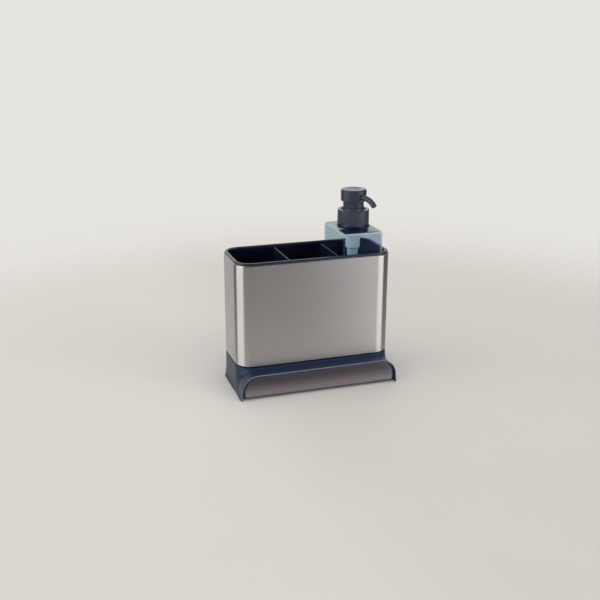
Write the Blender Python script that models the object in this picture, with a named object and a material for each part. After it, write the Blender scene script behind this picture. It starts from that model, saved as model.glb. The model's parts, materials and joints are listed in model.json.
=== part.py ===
"""Sink organizer: a steel-clad caddy with three cells on an arched base with a
drip tray, and a foaming soap dispenser that stands in the right-hand cell.

Metres, +Z up, -Y is the front. The origin is the middle of the footprint, on
the counter.
"""

import math

import bmesh
import bpy
from mathutils import Vector

MM = 0.001
GAP = 0.3 * MM

# Steel sleeve, and the line round it that the whole body follows
SLEEVE_LENGTH = 230.0 * MM
SLEEVE_DEPTH = 99.0 * MM
SLEEVE_CORNER = 24.3 * MM
SLEEVE_Y = 8.5 * MM
SLEEVE_BOTTOM = 42.6 * MM
SLEEVE_TOP = 189.6 * MM
SLEEVE_SHEET = 0.6 * MM
SLEEVE_CURL = 2.0 * MM

# Base: a hood that leaves the sleeve's outline and sweeps forward to an arch
BASE_TOP = SLEEVE_BOTTOM - GAP
BASE_BOTTOM = 0.6 * MM
BASE_FRONT = -59.5 * MM
BASE_BACK = 59.6 * MM
BASE_HALF_LENGTH = 117.6 * MM
FOOT_FLARE = 0.6 * MM
LEG_DRAW = 0.5 * MM
BASE_WALL = 2.3 * MM
BASE_LIP = 0.7 * MM
BASE_BACK_CORNER = 25.5 * MM
DECK_THICKNESS = 2.2 * MM
ARCH_TOP = 36.5 * MM
ARCH_CORNER = 24.6 * MM
SPIGOT_HEIGHT = 5.0 * MM
SPIGOT_WALL = 1.8 * MM
DECK_WINDOW = (54.0 * MM, 56.0 * MM)
RAIL_TOP = 5.6 * MM
RAIL_THICKNESS = 1.6 * MM
RAIL_INNER = 104.0 * MM
RAIL_FRONT = -50.0 * MM
RAIL_BACK = 36.0 * MM
PAD_RADIUS = 4.5 * MM
PAD_HEIGHT = 2.4 * MM
PAD_POCKET = 0.9 * MM
PAD_BOSS_RADIUS = 6.0 * MM
PAD_PLACES = ((-109.0 * MM, -44.0 * MM), (109.0 * MM, -44.0 * MM),
              (-109.0 * MM, 29.0 * MM), (109.0 * MM, 29.0 * MM))

# Inner bin: a tub whose rim bead sits on the sleeve's curled edge
RIM_TOP = 192.4 * MM
RIM_WIDTH = 6.2 * MM
RIM_INSET = 1.1 * MM
BIN_WALL = 1.8 * MM
BIN_FLOOR_TOP = 52.0 * MM
BIN_FLOOR_THICKNESS = 2.0 * MM
DRAIN_SLOT = (3.4 * MM, 44.0 * MM)
DRAIN_PITCH = 13.0 * MM
DRAINS_PER_CELL = 4
RIB_DEPTH = 1.6 * MM
RIB_TOP = 178.0 * MM
CELL_PITCH = 72.4 * MM
SCREW_PLACES = ((-CELL_PITCH / 2, -26.0 * MM), (CELL_PITCH / 2, -26.0 * MM),
                (-CELL_PITCH / 2, 26.0 * MM), (CELL_PITCH / 2, 26.0 * MM))
SCREW_BOSS_RADIUS = 4.2 * MM
SCREW_PILOT_RADIUS = 1.7 * MM
SCREW_SHANK_RADIUS = 1.4 * MM
SCREW_HEAD_RADIUS = 3.4 * MM
SCREW_HEAD_HEIGHT = 2.0 * MM
SCREW_LENGTH = 8.5 * MM

# Dividers
DIVIDER_THICKNESS = 1.5 * MM
DIVIDER_TOP = 190.0 * MM

# Drip tray and its steel-faced front
TRAY_HALF_LENGTH = 110.8 * MM
TRAY_FRONT = -55.0 * MM
TRAY_BACK = 50.0 * MM
TRAY_FRONT_CORNER = 4.0 * MM
TRAY_BACK_CORNER = 20.0 * MM
TRAY_WALL = 1.6 * MM
TRAY_HEIGHT = 17.0 * MM
APRON_HALF_LENGTH = 113.6 * MM
APRON_TOP = 33.7 * MM
APRON_CORNER = 21.0 * MM
APRON_THICKNESS = 1.8 * MM
FASCIA_FRONT = -57.9 * MM
FASCIA_THICKNESS = 1.6 * MM
FASCIA_HALF_LENGTH = 111.4 * MM
FASCIA_BOTTOM = 4.4 * MM
FASCIA_TOP = 32.4 * MM
FASCIA_CORNER = 18.8 * MM
FASCIA_EDGE = 2.2 * MM

# Bottle: a square-shouldered box with a round neck
DISPENSER_X = 71.3 * MM
BOTTLE_WIDTH = 60.4 * MM
BOTTLE_DEPTH = 83.0 * MM
BOTTLE_CORNER = 4.2 * MM
BOTTLE_EDGE = 3.8 * MM
BOTTLE_BOTTOM = BIN_FLOOR_TOP + GAP
BOTTLE_TOP = 222.6 * MM
BOTTLE_WALL = 2.2 * MM
NECK_RADIUS = 18.9 * MM
NECK_BORE = 16.9 * MM
NECK_TOP = 240.6 * MM
NECK_RING_RADIUS = 23.6 * MM
NECK_RING_HEIGHT = 4.0 * MM

# Pump, measured along its own vertical axis
COLLAR_RADIUS = 22.9 * MM
COLLAR_DRAW = 0.3 * MM
THREAD_ROOM = 1.3 * MM
COLLAR_BOTTOM = 228.4 * MM
COLLAR_TOP = 248.7 * MM
COLLAR_BORE = 15.4 * MM
COLLAR_RING_RADIUS = 16.5 * MM
COLLAR_RING_HEIGHT = 1.8 * MM
PLUNGER_RADIUS = 15.0 * MM
PLUNGER_BORE = 13.2 * MM
PLUNGER_BOTTOM = 246.0 * MM
FLANGE_BOTTOM = 242.4 * MM
FLANGE_THICKNESS = 1.5 * MM
MOUTH_RADIUS = 16.5 * MM
MOUTH_FLOOR = 233.6 * MM
AIR_CYLINDER_RADIUS = 10.4 * MM
LIQUID_CYLINDER_RADIUS = 7.8 * MM
CYLINDER_WALL = 1.0 * MM
CYLINDER_STEP = 191.0 * MM
LIQUID_CYLINDER_END = 152.0 * MM
DIP_SOCKET_END = 143.0 * MM
AIR_PISTON_Z = 224.0 * MM
LIQUID_PISTON_Z = 176.0 * MM
STEM_RADIUS = 3.4 * MM
STEM_BORE = 1.9 * MM
STEM_TOP = 259.0 * MM
HEAD_RADIUS = 18.7 * MM
HEAD_BOTTOM = 261.6 * MM
HEAD_TOP = 276.7 * MM
HEAD_EDGE = 3.2 * MM
DISH_RADIUS = 10.4 * MM
DISH_DEPTH = 1.6 * MM
SPOUT_ROOT_RADIUS = 4.2 * MM
SPOUT_TIP_RADIUS = 3.8 * MM
SPOUT_BORE = 1.8 * MM
SPOUT_AZIMUTH = math.radians(-68.0)
SPOUT_ROUTE = ((13.0 * MM, 266.7 * MM), (28.2 * MM, 268.9 * MM),
               (36.5 * MM, 264.9 * MM), (42.7 * MM, 257.9 * MM))
SPRING_SEAT_Z = 157.4 * MM
SPRING_RADIUS = 4.1 * MM
SPRING_WIRE = 0.4 * MM
SPRING_TURNS = 8
SPRING_POINTS_PER_TURN = 9
BALL_RADIUS = 2.2 * MM
BALL_SEAT_Z = 153.4 * MM

CORNER_STEPS = 6
ROUND_STEPS = 36
HOOD_ROWS = 8


def clear_scene():
    for item in list(bpy.data.objects):
        bpy.data.objects.remove(item)


def material(name, colour, roughness, metallic=0.0):
    finish = bpy.data.materials.new(name)
    finish.use_nodes = True
    shader = finish.node_tree.nodes["Principled BSDF"]
    shader.inputs["Base Color"].default_value = (*colour, 1.0)
    shader.inputs["Roughness"].default_value = roughness
    shader.inputs["Metallic"].default_value = metallic
    return finish


def empty(name, place):
    """A frame for the pieces of one body, on that body's axis."""
    marker = bpy.data.objects.new(name, None)
    marker.location = place
    bpy.context.scene.collection.objects.link(marker)
    return marker


def piece(name, mesh, finish, parent=None, place=(0.0, 0.0, 0.0)):
    thing = bpy.data.objects.new(name, mesh)
    thing.location = place
    thing.parent = parent
    if finish:
        thing.data.materials.append(finish)
    bpy.context.scene.collection.objects.link(thing)
    return thing


def mesh_from(name, shape, sharp_degrees=32.0):
    """Turns a bmesh into a mesh with its faces pointing out and round parts smooth."""
    bmesh.ops.recalc_face_normals(shape, faces=shape.faces)
    mesh = bpy.data.meshes.new(name)
    shape.to_mesh(mesh)
    shape.free()
    mesh.shade_smooth()
    mesh.set_sharp_from_angle(angle=math.radians(sharp_degrees))
    return mesh


def loft(name, rings, looped=False):
    """Skins equal-sized rings of points; the ends are capped unless it loops."""
    shape = bmesh.new()
    skin = [[shape.verts.new(point) for point in ring] for ring in rings]
    pairs = list(zip(skin, skin[1:]))
    if looped:
        pairs.append((skin[-1], skin[0]))
    else:
        shape.faces.new(skin[0])
        shape.faces.new(skin[-1])
    count = len(rings[0])
    for lower, upper in pairs:
        for i in range(count):
            j = (i + 1) % count
            shape.faces.new((lower[i], lower[j], upper[j], upper[i]))
    return mesh_from(name, shape)


def turned(name, profile, steps=ROUND_STEPS, looped=True):
    """A lathe shape from (radius, height) pairs; radius 0 makes a pole."""
    shape = bmesh.new()
    rows = []
    for radius, height in profile:
        if radius == 0.0:
            rows.append([shape.verts.new((0.0, 0.0, height))] * steps)
            continue
        turns = [2 * math.pi * i / steps for i in range(steps)]
        rows.append([shape.verts.new((radius * math.cos(a), radius * math.sin(a), height))
                     for a in turns])
    pairs = list(zip(rows, rows[1:]))
    if looped:
        pairs.append((rows[-1], rows[0]))
    for lower, upper in pairs:
        for i in range(steps):
            j = (i + 1) % steps
            corners = list(dict.fromkeys((lower[i], lower[j], upper[j], upper[i])))
            if len(corners) > 2:
                shape.faces.new(corners)
    return mesh_from(name, shape)


def box_mesh(name, low, high):
    shape = bmesh.new()
    bmesh.ops.create_cube(shape, size=1.0)
    for vert in shape.verts:
        for axis in range(3):
            vert.co[axis] = low[axis] if vert.co[axis] < 0 else high[axis]
    return mesh_from(name, shape)


def rounded_ring(half_x, half_y, radius, height, steps=CORNER_STEPS, centre_y=0.0,
                 back_radius=None):
    """A rounded rectangle's outline, anticlockwise from the front right corner."""
    ring = []
    front_radius = radius
    back_radius = back_radius or radius
    corners = ((1, -1, -90), (1, 1, 0), (-1, 1, 90), (-1, -1, 180))
    for side_x, side_y, start in corners:
        radius = back_radius if side_y > 0 else front_radius
        for step in range(steps + 1):
            turn = math.radians(start + 90.0 * step / steps)
            x = side_x * (half_x - radius) + radius * math.cos(turn)
            y = side_y * (half_y - radius) + radius * math.sin(turn)
            ring.append(Vector((x, centre_y + y, height)))
    return ring


def round_ring(radius, height, steps=CORNER_STEPS):
    """A circle with as many points as rounded_ring, spread to match its corners."""
    count = 4 * (steps + 1)
    first = -90.0 + 180.0 / count
    turns = [math.radians(first + 360.0 * i / count) for i in range(count)]
    return [Vector((radius * math.cos(a), radius * math.sin(a), height)) for a in turns]


def sleeve_ring(inset, height, steps=CORNER_STEPS):
    """The sleeve's outline drawn in by inset, about the sleeve's own centre."""
    return rounded_ring(SLEEVE_LENGTH / 2 - inset, SLEEVE_DEPTH / 2 - inset,
                        SLEEVE_CORNER - inset, height, steps)


def arc(centre_r, centre_z, radius, start, end, steps):
    """Points of an arc in a lathe profile, in degrees from +r towards +z."""
    turns = [math.radians(start + (end - start) * i / steps) for i in range(steps + 1)]
    return [(centre_r + radius * math.cos(a), centre_z + radius * math.sin(a)) for a in turns]


def bezier(a, b, c, d, t):
    s = 1.0 - t
    return a * s ** 3 + b * (3 * s * s * t) + c * (3 * s * t * t) + d * t ** 3


def boolean(target, tool, operation):
    """Adds an exact Boolean whose tool stays in the file as a hidden guide."""
    tool.hide_render = True
    tool.hide_set(True)
    tool.display_type = "WIRE"
    step = target.modifiers.new(tool.name, "BOOLEAN")
    step.operation = operation
    step.solver = "EXACT"
    step.object = tool


def joined(name, meshes):
    """One mesh that holds several separate bodies, for use as a Boolean tool."""
    shape = bmesh.new()
    for mesh in meshes:
        shape.from_mesh(mesh)
        bpy.data.meshes.remove(mesh)
    return mesh_from(name, shape)


def moved(mesh, place):
    for vert in mesh.vertices:
        vert.co += Vector(place)
    return mesh


def hood_paths(inset, top):
    """Four control points for each line of the hood, from sleeve outline to rim.

    The line leaves the sleeve straight down. In front it arrives at the arch
    heading forward; along the sides and back it ends on the floor line with a
    small kick outward.
    """
    half_x = SLEEVE_LENGTH / 2 - inset
    half_y = SLEEVE_DEPTH / 2 - inset
    corner = SLEEVE_CORNER - inset
    front_y = SLEEVE_Y - half_y
    back_y = SLEEVE_Y + half_y
    foot_x = BASE_HALF_LENGTH - inset
    arch_top = ARCH_TOP - inset
    arch_corner = ARCH_CORNER - inset
    foot_back = BASE_BACK - inset
    back_corner = BASE_BACK_CORNER - inset
    leg_top = arch_top - arch_corner
    arch_x = foot_x - LEG_DRAW
    drop = Vector((0.0, 0.0, -1.0))
    ahead = Vector((0.0, -1.0, 0.0))
    paths = []

    def swept(start, end):
        """A line to the arch or leg: down first, then forward."""
        reach = start.y - end.y
        fall = start.z - end.z
        paths.append((start, start + drop * fall * 0.7, end - ahead * reach * 0.55, end))

    def kicked(start, end, forward):
        """A line to the floor; forward is 1 at the front foot and 0 further back."""
        fall = start.z - end.z
        out = Vector((end.x - start.x, 0.0, 0.0))
        if forward == 0.0:
            out = Vector((end.x - start.x, end.y - start.y, 0.0))
        lift = Vector((0.0, 0.0, 7.0 * MM * (1.0 - forward)))
        back = Vector((0.0, (start.y - end.y) * 0.55 * forward, 0.0))
        near = end - out * (1.0 - forward) + lift + back
        paths.append((start, start + drop * fall * 0.6, near, end))

    front_steps = 2
    arch_half = arch_x - arch_corner
    for i in range(front_steps):
        share = i / front_steps
        swept(Vector(((half_x - corner) * share, front_y, top)),
              Vector((arch_half * share, BASE_FRONT, arch_top)))
    fan_steps = 12
    arch_steps = 8
    for i in range(fan_steps + 1):
        turn = math.radians(-90.0 + 90.0 * i / fan_steps)
        start = Vector((half_x - corner + corner * math.cos(turn),
                        front_y + corner + corner * math.sin(turn), top))
        if i <= arch_steps:
            bend = math.radians(90.0 - 90.0 * i / arch_steps)
            end = Vector((arch_half + arch_corner * math.cos(bend), BASE_FRONT,
                          leg_top + arch_corner * math.sin(bend)))
        else:
            share = (i - arch_steps) / (fan_steps - arch_steps)
            end = Vector((arch_x + (LEG_DRAW + FOOT_FLARE) * share ** 1.6, BASE_FRONT,
                          leg_top + (BASE_BOTTOM - leg_top) * share))
        if i < fan_steps:
            swept(start, end)
        else:
            kicked(start, end, 1.0)
    side_steps = 7
    for i in range(1, side_steps):
        share = i / side_steps
        start = Vector((half_x, front_y + corner + (half_y * 2 - corner * 2) * share, top))
        near_foot = max(0.0, 1.0 - share * 2.5)
        end = Vector((foot_x + FOOT_FLARE * near_foot,
                      BASE_FRONT + (foot_back - back_corner - BASE_FRONT) * share, BASE_BOTTOM))
        kicked(start, end, near_foot)
    back_steps = 6
    for i in range(back_steps + 1):
        turn = math.radians(90.0 * i / back_steps)
        start = Vector((half_x - corner + corner * math.cos(turn),
                        back_y - corner + corner * math.sin(turn), top))
        end = Vector((foot_x - back_corner + back_corner * math.cos(turn),
                      foot_back - back_corner + back_corner * math.sin(turn), BASE_BOTTOM))
        kicked(start, end, 0.0)
    flip = Vector((-1.0, 1.0, 1.0))
    mirrored = [tuple(point * flip for point in path) for path in reversed(paths[1:])]
    return paths + mirrored


def hood_skin(inset, top):
    """Rings down one skin of the hood; the last stops short of the rounded lip."""
    paths = hood_paths(inset, top)
    rings = [[bezier(*path, i / HOOD_ROWS) for path in paths] for i in range(HOOD_ROWS)]
    rings.append([end + (near - end).normalized() * BASE_LIP for _, _, near, end in paths])
    return rings


def hood_mesh():
    """The hood's outer and inner skins, joined by a lip along the arch and the floor."""
    rings = hood_skin(0.0, BASE_TOP)
    for inset in (BASE_LIP * 0.6, BASE_WALL - BASE_LIP * 0.6):
        rings.append([end for _, _, _, end in hood_paths(inset, BASE_TOP)])
    rings += reversed(hood_skin(BASE_WALL, BASE_TOP - DECK_THICKNESS))
    return loft("base_frame", rings)


def base_frame(finish):
    frame = piece("base_frame", hood_mesh(), finish)
    sunk = 0.6 * MM
    spigot_inset = SLEEVE_SHEET + GAP
    spigot = loft("base_spigot", [
        sleeve_ring(spigot_inset, BASE_TOP - sunk),
        sleeve_ring(spigot_inset, BASE_TOP + SPIGOT_HEIGHT - 1.0 * MM),
        sleeve_ring(spigot_inset + 0.7 * MM, BASE_TOP + SPIGOT_HEIGHT),
        sleeve_ring(spigot_inset + SPIGOT_WALL, BASE_TOP + SPIGOT_HEIGHT),
        sleeve_ring(spigot_inset + SPIGOT_WALL, BASE_TOP - sunk)], looped=True)
    boolean(frame, piece("base_spigot", moved(spigot, (0, SLEEVE_Y, 0)), None), "UNION")

    rails = []
    for side in (-1, 1):
        edges = sorted((side * RAIL_INNER, side * (BASE_HALF_LENGTH - 1.6 * MM)))
        rails.append(box_mesh("rail", (edges[0], RAIL_FRONT, RAIL_TOP - RAIL_THICKNESS),
                              (edges[1], RAIL_BACK, RAIL_TOP)))
    boolean(frame, piece("base_rails", joined("base_rails", rails), None), "UNION")
    boss_bottom = PAD_HEIGHT - PAD_POCKET + GAP
    bosses = [moved(turned("boss", [(0.0, boss_bottom), (PAD_BOSS_RADIUS, boss_bottom),
                                    (PAD_BOSS_RADIUS, RAIL_TOP - 0.5 * MM),
                                    (0.0, RAIL_TOP - 0.5 * MM)], 20, False), (x, y, 0))
              for x, y in PAD_PLACES]
    boolean(frame, piece("base_bosses", joined("base_bosses", bosses), None), "UNION")

    holes = []
    for cell in (-1, 0, 1):
        half_x, half_y = DECK_WINDOW[0] / 2, DECK_WINDOW[1] / 2
        window = loft("window", [rounded_ring(half_x, half_y, 8 * MM, z, 3)
                                 for z in (BASE_TOP - 5 * MM, BASE_TOP + 2 * MM)])
        holes.append(moved(window, (cell * CELL_PITCH, SLEEVE_Y, 0)))
    for x, y in SCREW_PLACES:
        radius = SCREW_SHANK_RADIUS + GAP
        hole = turned("hole", [(0.0, BASE_TOP - 5 * MM), (radius, BASE_TOP - 5 * MM),
                               (radius, BASE_TOP + 2 * MM), (0.0, BASE_TOP + 2 * MM)], 12, False)
        holes.append(moved(hole, (x, SLEEVE_Y + y, 0)))
    for x, y in PAD_PLACES:
        radius = PAD_RADIUS + GAP
        pocket = turned("pocket", [(0.0, 0.0), (radius, 0.0), (radius, PAD_HEIGHT + GAP),
                                   (0.0, PAD_HEIGHT + GAP)], 20, False)
        holes.append(moved(pocket, (x, y, 0)))
    boolean(frame, piece("base_openings", joined("base_openings", holes), None), "DIFFERENCE")
    return frame


def foot_pads(finish):
    edge = 0.4 * MM
    profile = [(0.0, 0.0), (PAD_RADIUS - edge, 0.0), (PAD_RADIUS, edge),
               (PAD_RADIUS, PAD_HEIGHT), (0.0, PAD_HEIGHT)]
    mesh = turned("foot_pad", profile, 20, False)
    names = ("foot_pad_front_left", "foot_pad_front_right",
             "foot_pad_back_left", "foot_pad_back_right")
    for name, (x, y) in zip(names, PAD_PLACES):
        piece(name, mesh, None, place=(x, y, 0.0))
    mesh.materials.append(finish)


def deck_screws(finish):
    """Pan-head screws that come up through the deck into the bin's bosses."""
    top = -GAP
    low = top - SCREW_HEAD_HEIGHT
    tip = top + SCREW_LENGTH
    profile = [(0.0, low), (SCREW_HEAD_RADIUS * 0.7, low),
               (SCREW_HEAD_RADIUS, low + 0.8 * MM), (SCREW_HEAD_RADIUS, top),
               (SCREW_SHANK_RADIUS, top), (SCREW_SHANK_RADIUS, tip - 1.4 * MM), (0.0, tip)]
    mesh = turned("deck_screw", profile, 16, False)
    mesh.materials.append(finish)
    for i, (x, y) in enumerate(SCREW_PLACES):
        piece(f"deck_screw_{i + 1}", mesh, None,
              place=(x, SLEEVE_Y + y, BASE_TOP - DECK_THICKNESS))


def steel_sleeve(finish, parent):
    """A band of sheet whose top edge is curled inward under the rim."""
    outer, inner = [], []
    curl_steps = 4
    for i in range(curl_steps + 1):
        turn = math.radians(90.0 * i / curl_steps)
        height = SLEEVE_TOP - SLEEVE_CURL
        outer.append((SLEEVE_CURL * (1 - math.cos(turn)), height + SLEEVE_CURL * math.sin(turn)))
        thin = SLEEVE_CURL - SLEEVE_SHEET
        inner.append((SLEEVE_SHEET + thin * (1 - math.cos(turn)), height + thin * math.sin(turn)))
    profile = [(0.0, SLEEVE_BOTTOM)] + outer + list(reversed(inner))
    profile.append((SLEEVE_SHEET, SLEEVE_BOTTOM))
    rings = [sleeve_ring(inset, height, 8) for inset, height in profile]
    return piece("steel_sleeve", loft("steel_sleeve", rings, looped=True), finish, parent)


def inner_bin(finish, parent):
    """The tub: rim bead, walls down to the deck, raised floor with drain slots."""
    outer = RIM_WIDTH - BIN_WALL
    foot = BASE_TOP + GAP
    floor_top = BIN_FLOOR_TOP
    floor_under = BIN_FLOOR_TOP - BIN_FLOOR_THICKNESS
    rim_under = SLEEVE_TOP + GAP
    bead = 1.5 * MM
    profile = [(outer + BIN_WALL, floor_under), (outer + BIN_WALL, foot), (outer, foot),
               (outer, rim_under), (RIM_INSET, rim_under), (RIM_INSET, RIM_TOP - bead),
               (RIM_INSET + bead * 0.3, RIM_TOP - bead * 0.3), (RIM_INSET + bead, RIM_TOP),
               (RIM_WIDTH - bead, RIM_TOP), (RIM_WIDTH - bead * 0.3, RIM_TOP - bead * 0.3),
               (RIM_WIDTH, RIM_TOP - bead), (RIM_WIDTH, floor_top)]
    rings = [sleeve_ring(inset, height) for inset, height in profile]
    tub = piece("inner_bin", loft("inner_bin", rings), finish, parent)

    wall_y = SLEEVE_DEPTH / 2 - RIM_WIDTH
    sunk = 0.4 * MM
    slot = DIVIDER_THICKNESS / 2 + GAP
    ribs = []
    for side_x in (-1, 1):
        for side in (-1, 1):
            for face in (-1, 1):
                near = side_x * CELL_PITCH / 2 + side * slot
                far = near + side * RIB_DEPTH
                xs = sorted((near, far))
                ys = sorted((face * (wall_y + sunk), face * (wall_y - RIB_DEPTH)))
                ribs.append(box_mesh("rib", (xs[0], ys[0], floor_top - sunk),
                                     (xs[1], ys[1], RIB_TOP)))
    boolean(tub, piece("bin_ribs", joined("bin_ribs", ribs), None, parent), "UNION")

    posts = []
    for x, y in SCREW_PLACES:
        profile = [(SCREW_PILOT_RADIUS, foot), (SCREW_BOSS_RADIUS, foot),
                   (SCREW_BOSS_RADIUS, floor_under + sunk),
                   (SCREW_PILOT_RADIUS, floor_under + sunk)]
        posts.append(moved(turned("post", profile, 16), (x, y, 0)))
    boolean(tub, piece("bin_posts", joined("bin_posts", posts), None, parent), "UNION")

    slots = []
    for cell in (-1, 0, 1):
        for i in range(DRAINS_PER_CELL):
            x = cell * CELL_PITCH + (i - (DRAINS_PER_CELL - 1) / 2) * DRAIN_PITCH
            rings = [rounded_ring(DRAIN_SLOT[0] / 2, DRAIN_SLOT[1] / 2,
                                  DRAIN_SLOT[0] / 2 - 0.01 * MM, z, 3)
                     for z in (floor_under - 1 * MM, floor_top + 1 * MM)]
            slots.append(moved(loft("slot", rings), (x, 0, 0)))
    boolean(tub, piece("bin_slots", joined("bin_slots", slots), None, parent), "DIFFERENCE")
    return tub


def dividers(finish):
    """Thin walls that drop between the bin's guide ribs."""
    half_y = SLEEVE_DEPTH / 2 - RIM_WIDTH - GAP
    half_x = DIVIDER_THICKNESS / 2
    bottom = BIN_FLOOR_TOP + GAP
    round_off = 1.6 * MM
    outline = [(-half_y, bottom), (half_y, bottom), (half_y, DIVIDER_TOP - round_off)]
    outline += arc(half_y - round_off, DIVIDER_TOP - round_off, round_off, 0, 90, 4)[1:]
    outline += arc(-half_y + round_off, DIVIDER_TOP - round_off, round_off, 90, 180, 4)
    mesh = loft("divider", [[Vector((x, y, z)) for y, z in outline] for x in (-half_x, half_x)])
    mesh.materials.append(finish)
    for name, side in (("divider_left", -1), ("divider_right", 1)):
        axis = empty(name + "_axis", (side * CELL_PITCH / 2, SLEEVE_Y, 0.0))
        piece(name, mesh, None, axis)


def arch_ring(half, bottom, top, corner, y, inset):
    """An upright outline with large top corners and small bottom ones."""
    low = 2.4 * MM
    ring = []
    for centre_x, centre_z, radius, start in (
            (half - low, bottom + low, low, -90), (half - corner, top - corner, corner, 0),
            (-half + corner, top - corner, corner, 90), (-half + low, bottom + low, low, 180)):
        ring += [Vector((x, y, z)) for x, z in
                 arc(centre_x, centre_z, max(radius - inset, 0.2 * MM), start, start + 90, 6)]
    return ring


def drip_tray(finish, parent):
    """A shallow tub that runs on the base's rails, with an apron that fills the arch."""
    bottom = RAIL_TOP + GAP
    centre_y = (TRAY_FRONT + TRAY_BACK) / 2
    half_y = (TRAY_BACK - TRAY_FRONT) / 2
    top = bottom + TRAY_HEIGHT
    wall = TRAY_WALL
    rings = []
    for inset, lean, height in ((0.0, 1.2 * MM, bottom), (0.0, 0.0, top),
                                (wall, 0.0, top), (wall, 1.2 * MM, bottom + wall)):
        rings.append(rounded_ring(TRAY_HALF_LENGTH - inset - lean, half_y - inset,
                                  TRAY_FRONT_CORNER - inset, height, CORNER_STEPS, centre_y,
                                  TRAY_BACK_CORNER - inset))
    tray = piece("drip_tray", loft("drip_tray", rings), finish, parent)
    front = FASCIA_FRONT + FASCIA_THICKNESS + GAP
    apron = [arch_ring(APRON_HALF_LENGTH, bottom, APRON_TOP, APRON_CORNER, y, inset)
             for y, inset in ((front, 0.6 * MM), (front + 0.6 * MM, 0.0),
                              (front + APRON_THICKNESS, 0.0))]
    boolean(tray, piece("tray_apron", loft("tray_apron", apron), None, parent), "UNION")
    return tray


def tray_front(finish, parent):
    """The steel panel on the apron, its edges pressed back all round."""
    rows = [(FASCIA_FRONT, FASCIA_EDGE), (FASCIA_FRONT + 0.15 * MM, FASCIA_EDGE * 0.6),
            (FASCIA_FRONT + 0.6 * MM, FASCIA_EDGE * 0.2),
            (FASCIA_FRONT + FASCIA_THICKNESS, 0.0)]
    rings = [arch_ring(FASCIA_HALF_LENGTH, FASCIA_BOTTOM, FASCIA_TOP, FASCIA_CORNER, y, inset)
             for y, inset in rows]
    return piece("tray_front", loft("tray_front", rings), finish, parent)


def bottle(finish, parent):
    """Box body, soft shoulder edge, flat top and round neck, hollow throughout."""
    half_x, half_y = BOTTLE_WIDTH / 2, BOTTLE_DEPTH / 2
    rings = []

    def row(inset, height):
        radius = max(BOTTLE_CORNER - inset, 1.0 * MM)
        rings.append(rounded_ring(half_x - inset, half_y - inset, radius, height))

    edge = BOTTLE_EDGE
    for inset, rise in arc(0.0, 0.0, edge, 0, 90, 4)[::-1]:
        row(edge - inset, BOTTLE_BOTTOM + edge - rise)
    for inset, rise in arc(0.0, 0.0, edge, 0, 90, 4):
        row(edge - inset, BOTTLE_TOP - edge + rise)
    rings.append(round_ring(NECK_RADIUS, BOTTLE_TOP))
    rings.append(round_ring(NECK_RADIUS, NECK_TOP))
    rings.append(round_ring(NECK_BORE, NECK_TOP))
    rings.append(round_ring(NECK_BORE, BOTTLE_TOP - BOTTLE_WALL))
    wall = BOTTLE_WALL
    row(wall + 2.0 * MM, BOTTLE_TOP - wall)
    row(wall, BOTTLE_TOP - wall - 2.0 * MM)
    row(wall, BOTTLE_BOTTOM + wall + 2.0 * MM)
    row(wall + 2.0 * MM, BOTTLE_BOTTOM + wall)
    return piece("bottle", loft("bottle", rings), finish, parent)


def neck_ring(finish, parent):
    low = BOTTLE_TOP + GAP
    high = low + NECK_RING_HEIGHT
    inner = NECK_RADIUS + GAP
    edge = 1.2 * MM
    profile = [(inner, low), (NECK_RING_RADIUS - 0.4 * MM, low), (NECK_RING_RADIUS, low + 0.6 * MM),
               (NECK_RING_RADIUS, high - edge)]
    profile += arc(NECK_RING_RADIUS - edge, high - edge, edge, 0, 90, 3)[1:]
    profile.append((inner, high))
    return piece("neck_ring", turned("neck_ring", profile), finish, parent)


def closure_collar(finish, parent):
    """Screw collar: a skirt over the neck and a raised ring round the plunger."""
    skirt_bore = NECK_RADIUS + THREAD_ROOM
    top_radius = COLLAR_RADIUS - COLLAR_DRAW
    roof = FLANGE_BOTTOM + FLANGE_THICKNESS + GAP
    edge = 1.2 * MM
    groove = 1.0 * MM
    ring_top = COLLAR_TOP + COLLAR_RING_HEIGHT
    profile = [(skirt_bore, COLLAR_BOTTOM), (COLLAR_RADIUS - 0.8 * MM, COLLAR_BOTTOM),
               (COLLAR_RADIUS, COLLAR_BOTTOM + 0.8 * MM), (top_radius, COLLAR_TOP - edge)]
    profile += arc(top_radius - edge, COLLAR_TOP - edge, edge, 0, 90, 3)[1:]
    profile += [(18.6 * MM, COLLAR_TOP), (17.2 * MM, COLLAR_TOP - groove),
                (COLLAR_RING_RADIUS, COLLAR_TOP - groove),
                (COLLAR_RING_RADIUS, ring_top - 0.5 * MM),
                (COLLAR_RING_RADIUS - 0.5 * MM, ring_top),
                (COLLAR_BORE, ring_top), (COLLAR_BORE, roof), (skirt_bore, roof)]
    return piece("closure_collar", turned("closure_collar", profile), finish, parent)


def neck_gasket(finish, parent):
    low = NECK_TOP + GAP
    high = FLANGE_BOTTOM - GAP
    outer = NECK_RADIUS - 0.2 * MM
    profile = [(NECK_BORE + 0.2 * MM, low), (outer, low), (outer, high),
               (NECK_BORE + 0.2 * MM, high)]
    return piece("neck_gasket", turned("neck_gasket", profile, 32), finish, parent)


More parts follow.
